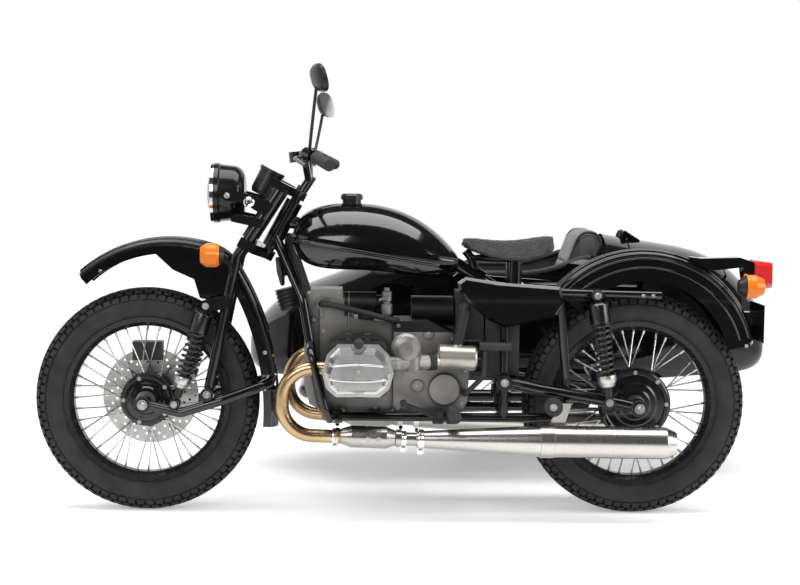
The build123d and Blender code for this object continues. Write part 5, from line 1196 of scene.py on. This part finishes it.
def leather(name, colour, dust, panel=None):
    """Cells and creases in the bump, dust in the cloud. A panel is a colour, a middle y and a half width."""
    made = Finish(name, IOR=1.45, Specular_IOR_Level=0.35)
    cells = made.node("ShaderNodeTexVoronoi", {"feature": "DISTANCE_TO_EDGE"},
                      {"Vector": made.place(), "Scale": 420.0})
    crease = made.noise(34.0, 5.0)
    tone = made.blend(crease.step(0.45, 0.75), colour, dust)
    if panel:
        shade, middle, half = panel
        y = made.split(made.place())[1]
        inside = 1 - (y - middle).math("ABSOLUTE").step(half - 0.001, half + 0.001)
        tone = made.blend(inside, tone, made.blend(crease, shade, tuple(0.8 * c for c in shade)))
    made.set(Base_Color=tone, Roughness=0.30 + 0.2 * crease)
    return made.bump(cells.step(0.0, 0.12) + 0.8 * crease, 0.0008, 0.45)


BACK_PANEL = 150.0
SADDLE_LEATHER = leather("saddle_leather", (0.011, 0.011, 0.0115), (0.022, 0.022, 0.0225))
SEAT_CLOTH = leather("seat_leather", (0.030, 0.030, 0.032), (0.045, 0.045, 0.047))
BACK_CLOTH = leather("backrest_leather", (0.016, 0.016, 0.017), (0.026, 0.026, 0.027),
                     ((0.15, 0.152, 0.158), REAR_AXLE[1] + TUB_MIDDLE * MM, BACK_PANEL * MM))

# %% [markdown]
# ## The saddle
# A solo saddle is a leather-covered pan: narrow at the nose, wide at the back, with a rolled rim. Its
# sections are taken across the bike, and the widths between them follow one smooth curve.

# %% saddle
# x, half width, top, edge and thickness of each section
STATIONS = np.array([(546, 46, 846, 832, 24), (470, 92, 842, 808, 28), (400, 128, 838, 798, 32),
                     (310, 140, 848, 808, 34), (246, 112, 856, 830, 28)], float)
INSET, ROUND_ENDS, RIM_IN = 3.0, 9, 16
DIAMOND, STITCH_W, STITCH_DEEP, FIELD_EDGE, SEAM_DEEP = 34.0, 6.0, 2.6, 20, 3.2


def along_saddle(x, column):
    """One column of the sections as a smooth curve through them: the quartic that fits all five."""
    return np.polyval(np.polyfit(STATIONS[:, 0], STATIONS[:, column], 4), x)


def saddle_net(steps=46, around=72):
    """For each x a flattened ring: y = half * cos, z between a crowned top and a flat pan; ends drawn in."""
    u = np.linspace(0, 1, steps)
    x = STATIONS[0, 0] - INSET + u * (STATIONS[-1, 0] - STATIONS[0, 0] + 2 * INSET)
    half, top, edge, thick = (along_saddle(x, column) for column in range(1, 5))
    ends = np.maximum(0.0, 1 - np.abs(2 * u - 1) ** ROUND_ENDS) ** 0.5
    angle = np.linspace(0, 2 * np.pi, around, endpoint=False)
    flat = np.sign(np.cos(angle)) * np.abs(np.cos(angle)) ** 0.55
    y = (half - INSET)[:, None] * ends[:, None] * flat[None]
    middle = (edge - 0.3 * thick)[:, None] + (top - edge)[:, None] * (1 - flat[None] ** 2)
    lift = np.sign(np.sin(angle)) * np.abs(np.sin(angle)) ** 0.6
    z = middle + (0.5 * thick - INSET)[:, None] * ends[:, None] * lift[None]
    return sheet(bike(np.stack([np.broadcast_to(x[:, None], y.shape), y, z], -1)), wrap_v=True)


def quilt(points):
    """Two slanting sets of stitch lines that cross as diamonds, and a seam all along the rim."""
    x, y, _ = points.T
    half = along_saddle(x, 1)
    lines = [np.abs((x + hand * y) % DIAMOND - DIAMOND / 2) for hand in (1, -1)]
    field = np.abs(y) < half - FIELD_EDGE
    stitch = np.maximum(*[groove(DIAMOND / 2 - line, STITCH_W) for line in lines]) * field
    return STITCH_DEEP * stitch + SEAM_DEEP * groove(np.abs(np.abs(y) - half + RIM_IN), STITCH_W)


cushion("saddle_cover", saddle_net(), "saddle", SADDLE_LEATHER, quilt, 0.004)

# %% [markdown]
# ## The sidecar's seat and backrest
# Both are foam in sewn covers. Their side view is a loop with soft corners, carried across the tub and drawn
# in at the ends. Welted seams run where the sides meet the front, and the seat has pleats that run fore and
# aft.

# %% seat and backrest
BACK_HALF, WELT_R = 200, 4.5
PLEAT, PLEAT_W, PLEAT_TOP = 80.0, 9.0, 30
EDGE_SEAM, EDGE_SEAM_W = 36, 6.0
LEVELS, PANEL_SEAM_W = (620, 740), 8.0
seat_low, seat_high = (np.array(corner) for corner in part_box("sidecar_seat"))
seat_x = (np.array([seat_low[0], seat_high[0]]) - REAR_AXLE[0]) / MM + [8, -8]
seat_z = np.array([seat_low[2], seat_high[2]]) / MM + [4, -8]
seat_half = (seat_high[1] - seat_low[1]) / MM / 2 - 8
seat_corners = [(0, 0), (1, 0), (1, 1), (0, 1)]
seat_loop = softened(np.array([(seat_x[i], seat_z[j]) for i, j in seat_corners]), 32)
back_loop = softened(np.array([(228, 505), (106, 852), (64, 864), (26, 844), (28, 505)]), 24)


def pleats(points):
    """Five channels along the seat and a seam round its top edge."""
    _, y, z = points.T
    across = np.abs((y - TUB_MIDDLE + PLEAT / 2) % PLEAT - PLEAT / 2)
    channels = 4.0 * groove(across, PLEAT_W) * (z > seat_z[1] - PLEAT_TOP)
    return channels + 3.0 * groove(np.abs(z - seat_z[1] + EDGE_SEAM), EDGE_SEAM_W)


def panels(points):
    """A seam at each edge of the front panel and two level channels across it."""
    _, y, z = points.T
    aside = np.abs(y - TUB_MIDDLE)
    level = np.minimum(*[np.abs(z - height) for height in LEVELS])
    channels = 3.0 * groove(level, PLEAT_W) * (aside < BACK_PANEL)
    return 4.0 * groove(np.abs(aside - BACK_PANEL), PANEL_SEAM_W) + channels


seat_net = stuffed(seat_loop, seat_loop.mean(0), TUB_MIDDLE, seat_half)
back_net = stuffed(back_loop, back_loop.mean(0), TUB_MIDDLE, BACK_HALF)
cushion("seat_cushion", seat_net, "sidecar_seat", SEAT_CLOTH, pleats, 0.006)
cushion("back_cushion", back_net, "sidecar_backrest", BACK_CLOTH, panels, 0.006)
closed_loop = np.vstack([back_loop, back_loop[:2]]) - back_loop.mean(0)
welt_x, welt_z = (back_loop.mean(0) + drawn_in(BACK_PANEL / BACK_HALF) * closed_loop).T
welts = []
for hand in (1, -1):
    welt_y = np.full(len(welt_x), TUB_MIDDLE + hand * BACK_PANEL)
    welts.append(pipe(bike(np.stack([welt_x, welt_y, welt_z], -1)), WELT_R * MM, 8))
piece("back_welts", welts, "chassis", SADDLE_LEATHER)

# %% [markdown]
# ## Studio paper and screens
# The outfit stands on a white paper sweep. Near the outfit the paper is plain and keeps the shadow, and
# further off it turns into pure white light, so no horizon shows. Photographers stand dark cards round black
# paint, so that it has something dark to mirror. Three such cards are here, and only reflections see them.

# %% paper and screens
FLOOR_REACH, PAPER_FADE, PAPER_LIFT = 14.0, (1.4, 3.2), 0.28
WHITE, NONE = (1.0, 1.0, 1.0), (0.0, 0.0, 0.0)
# card: middle, half along, half across
CARDS = {"screen_near_floor": ((0, 5.95, 0.02), (9, 0, 0), (0, 2.35, 0)),
         "screen_camera_side": ((0, 7.5, 4.0), (9, 0, 0), (0, 0, 3.9)),
         "screen_above": ((0, 1.0, 6.0), (9, 0, 0), (0, 6.6, 0))}


def card(name, middle, along, across, finish):
    """A flat sheet: middle plus and minus its two half sides."""
    middle, along, across = (np.array(v, float) for v in (middle, along, across))
    mesh = bpy.data.meshes.new(name)
    mesh.from_pydata([middle - along - across, middle + along - across, middle + along + across,
                      middle - along + across], [], [[0, 1, 2, 3]])
    mesh.materials.append(finish.material)
    made = bpy.data.objects.new(name, mesh)
    bpy.context.scene.collection.objects.link(made)
    return made


def seen_straight(finish):
    """1 for rays from the camera, from mirrors and through glass, 0 for rays that only carry light."""
    kinds = ("Is Camera Ray", "Is Glossy Ray", "Is Transmission Ray")
    rays = [finish.node("ShaderNodeLightPath", out=kind) for kind in kinds]
    return (rays[0] + rays[1] + rays[2]).math("MINIMUM", 1.0)


CLOTH = Finish("dark_cloth", Base_Color=NONE, Roughness=1.0, Specular_IOR_Level=0.0, Emission_Strength=1.0)
CLOTH.set(Emission_Color=CLOTH.blend(CLOTH.noise(0.4), (0.03, 0.03, 0.03), (0.12, 0.12, 0.12)))
SWEEP = Finish("paper_sweep", Roughness=0.55, Specular_IOR_Level=0.2, Emission_Strength=1.0)
fibre, seen = SWEEP.noise(160.0, 3.0), seen_straight(SWEEP)
distance = SWEEP.node("ShaderNodeVectorMath", {"operation": "LENGTH"}, [SWEEP.place()], out="Value")
off = distance.step(*PAPER_FADE)
paper = SWEEP.blend(fibre, (0.90, 0.90, 0.90), (0.94, 0.94, 0.94))
lifted = SWEEP.blend(seen, NONE, (PAPER_LIFT,) * 3)
SWEEP.set(Base_Color=SWEEP.blend(off, paper, NONE), Emission_Color=SWEEP.blend(seen * off, lifted, WHITE))
SWEEP.bump(fibre, 0.0002, 0.1)
floor = card("floor", NONE, (FLOOR_REACH, 0, 0), (0, FLOOR_REACH, 0), SWEEP)
screens = [card(name, *sides, CLOTH) for name, sides in CARDS.items()]
for made in screens:
    made.visible_camera = made.visible_diffuse = made.visible_shadow = made.visible_transmission = False
print("screens", [made.name for made in screens])

# %% [markdown]
# ## Lamps and world
# Three large soft boxes give long soft reflections on the enamel. The world is white to the camera, to
# mirrors and through glass, but dimmer as a light, so that the lamps still model the shapes.

# %% lamps and world
WORLD_LIGHT = 0.55
# lamp: place, aim, width and height, power
SOFT_BOXES = {"overhead": ((0.1, 0.6, 3.6), (0.1, 0.1, 0.5), (4.5, 2.2), 165.0),
              "camera_side": ((1.8, 4.6, 2.6), (0.1, 0.2, 0.5), (2.6, 2.0), 95.0),
              "tail_side": ((-3.6, 2.2, 1.8), (-0.4, 0.2, 0.6), (1.6, 2.2), 60.0)}


def lamp(name, at, aim, size, power):
    """An oblong area lamp at a place, turned to face a point."""
    data = bpy.data.lights.new(name, "AREA")
    data.shape, data.size, data.size_y, data.energy = "RECTANGLE", size[0], size[1], power
    made = bpy.data.objects.new(name, data)
    bpy.context.scene.collection.objects.link(made)
    made.location = at
    made.rotation_euler = (Vector(aim) - Vector(at)).to_track_quat("-Z", "Y").to_euler()
    return made


class Sky(Finish):
    """The world's own tree, with its Background as the main shader."""

    def __init__(self, name, **sockets):
        self.world = bpy.data.worlds.new(name)
        self.world.use_nodes = True
        self.tree = self.world.node_tree
        self.shader = self.tree.nodes["Background"]
        self.set(**sockets)


lamps = [lamp(name, *about) for name, about in SOFT_BOXES.items()]
STUDIO = Sky("studio", Color=WHITE)
STUDIO.set(Strength=WORLD_LIGHT + (1 - WORLD_LIGHT) * seen_straight(STUDIO))
bpy.context.scene.world = STUDIO.world
bpy.context.scene.view_settings.view_transform = "Standard"
print("lamps", [made.name for made in lamps])
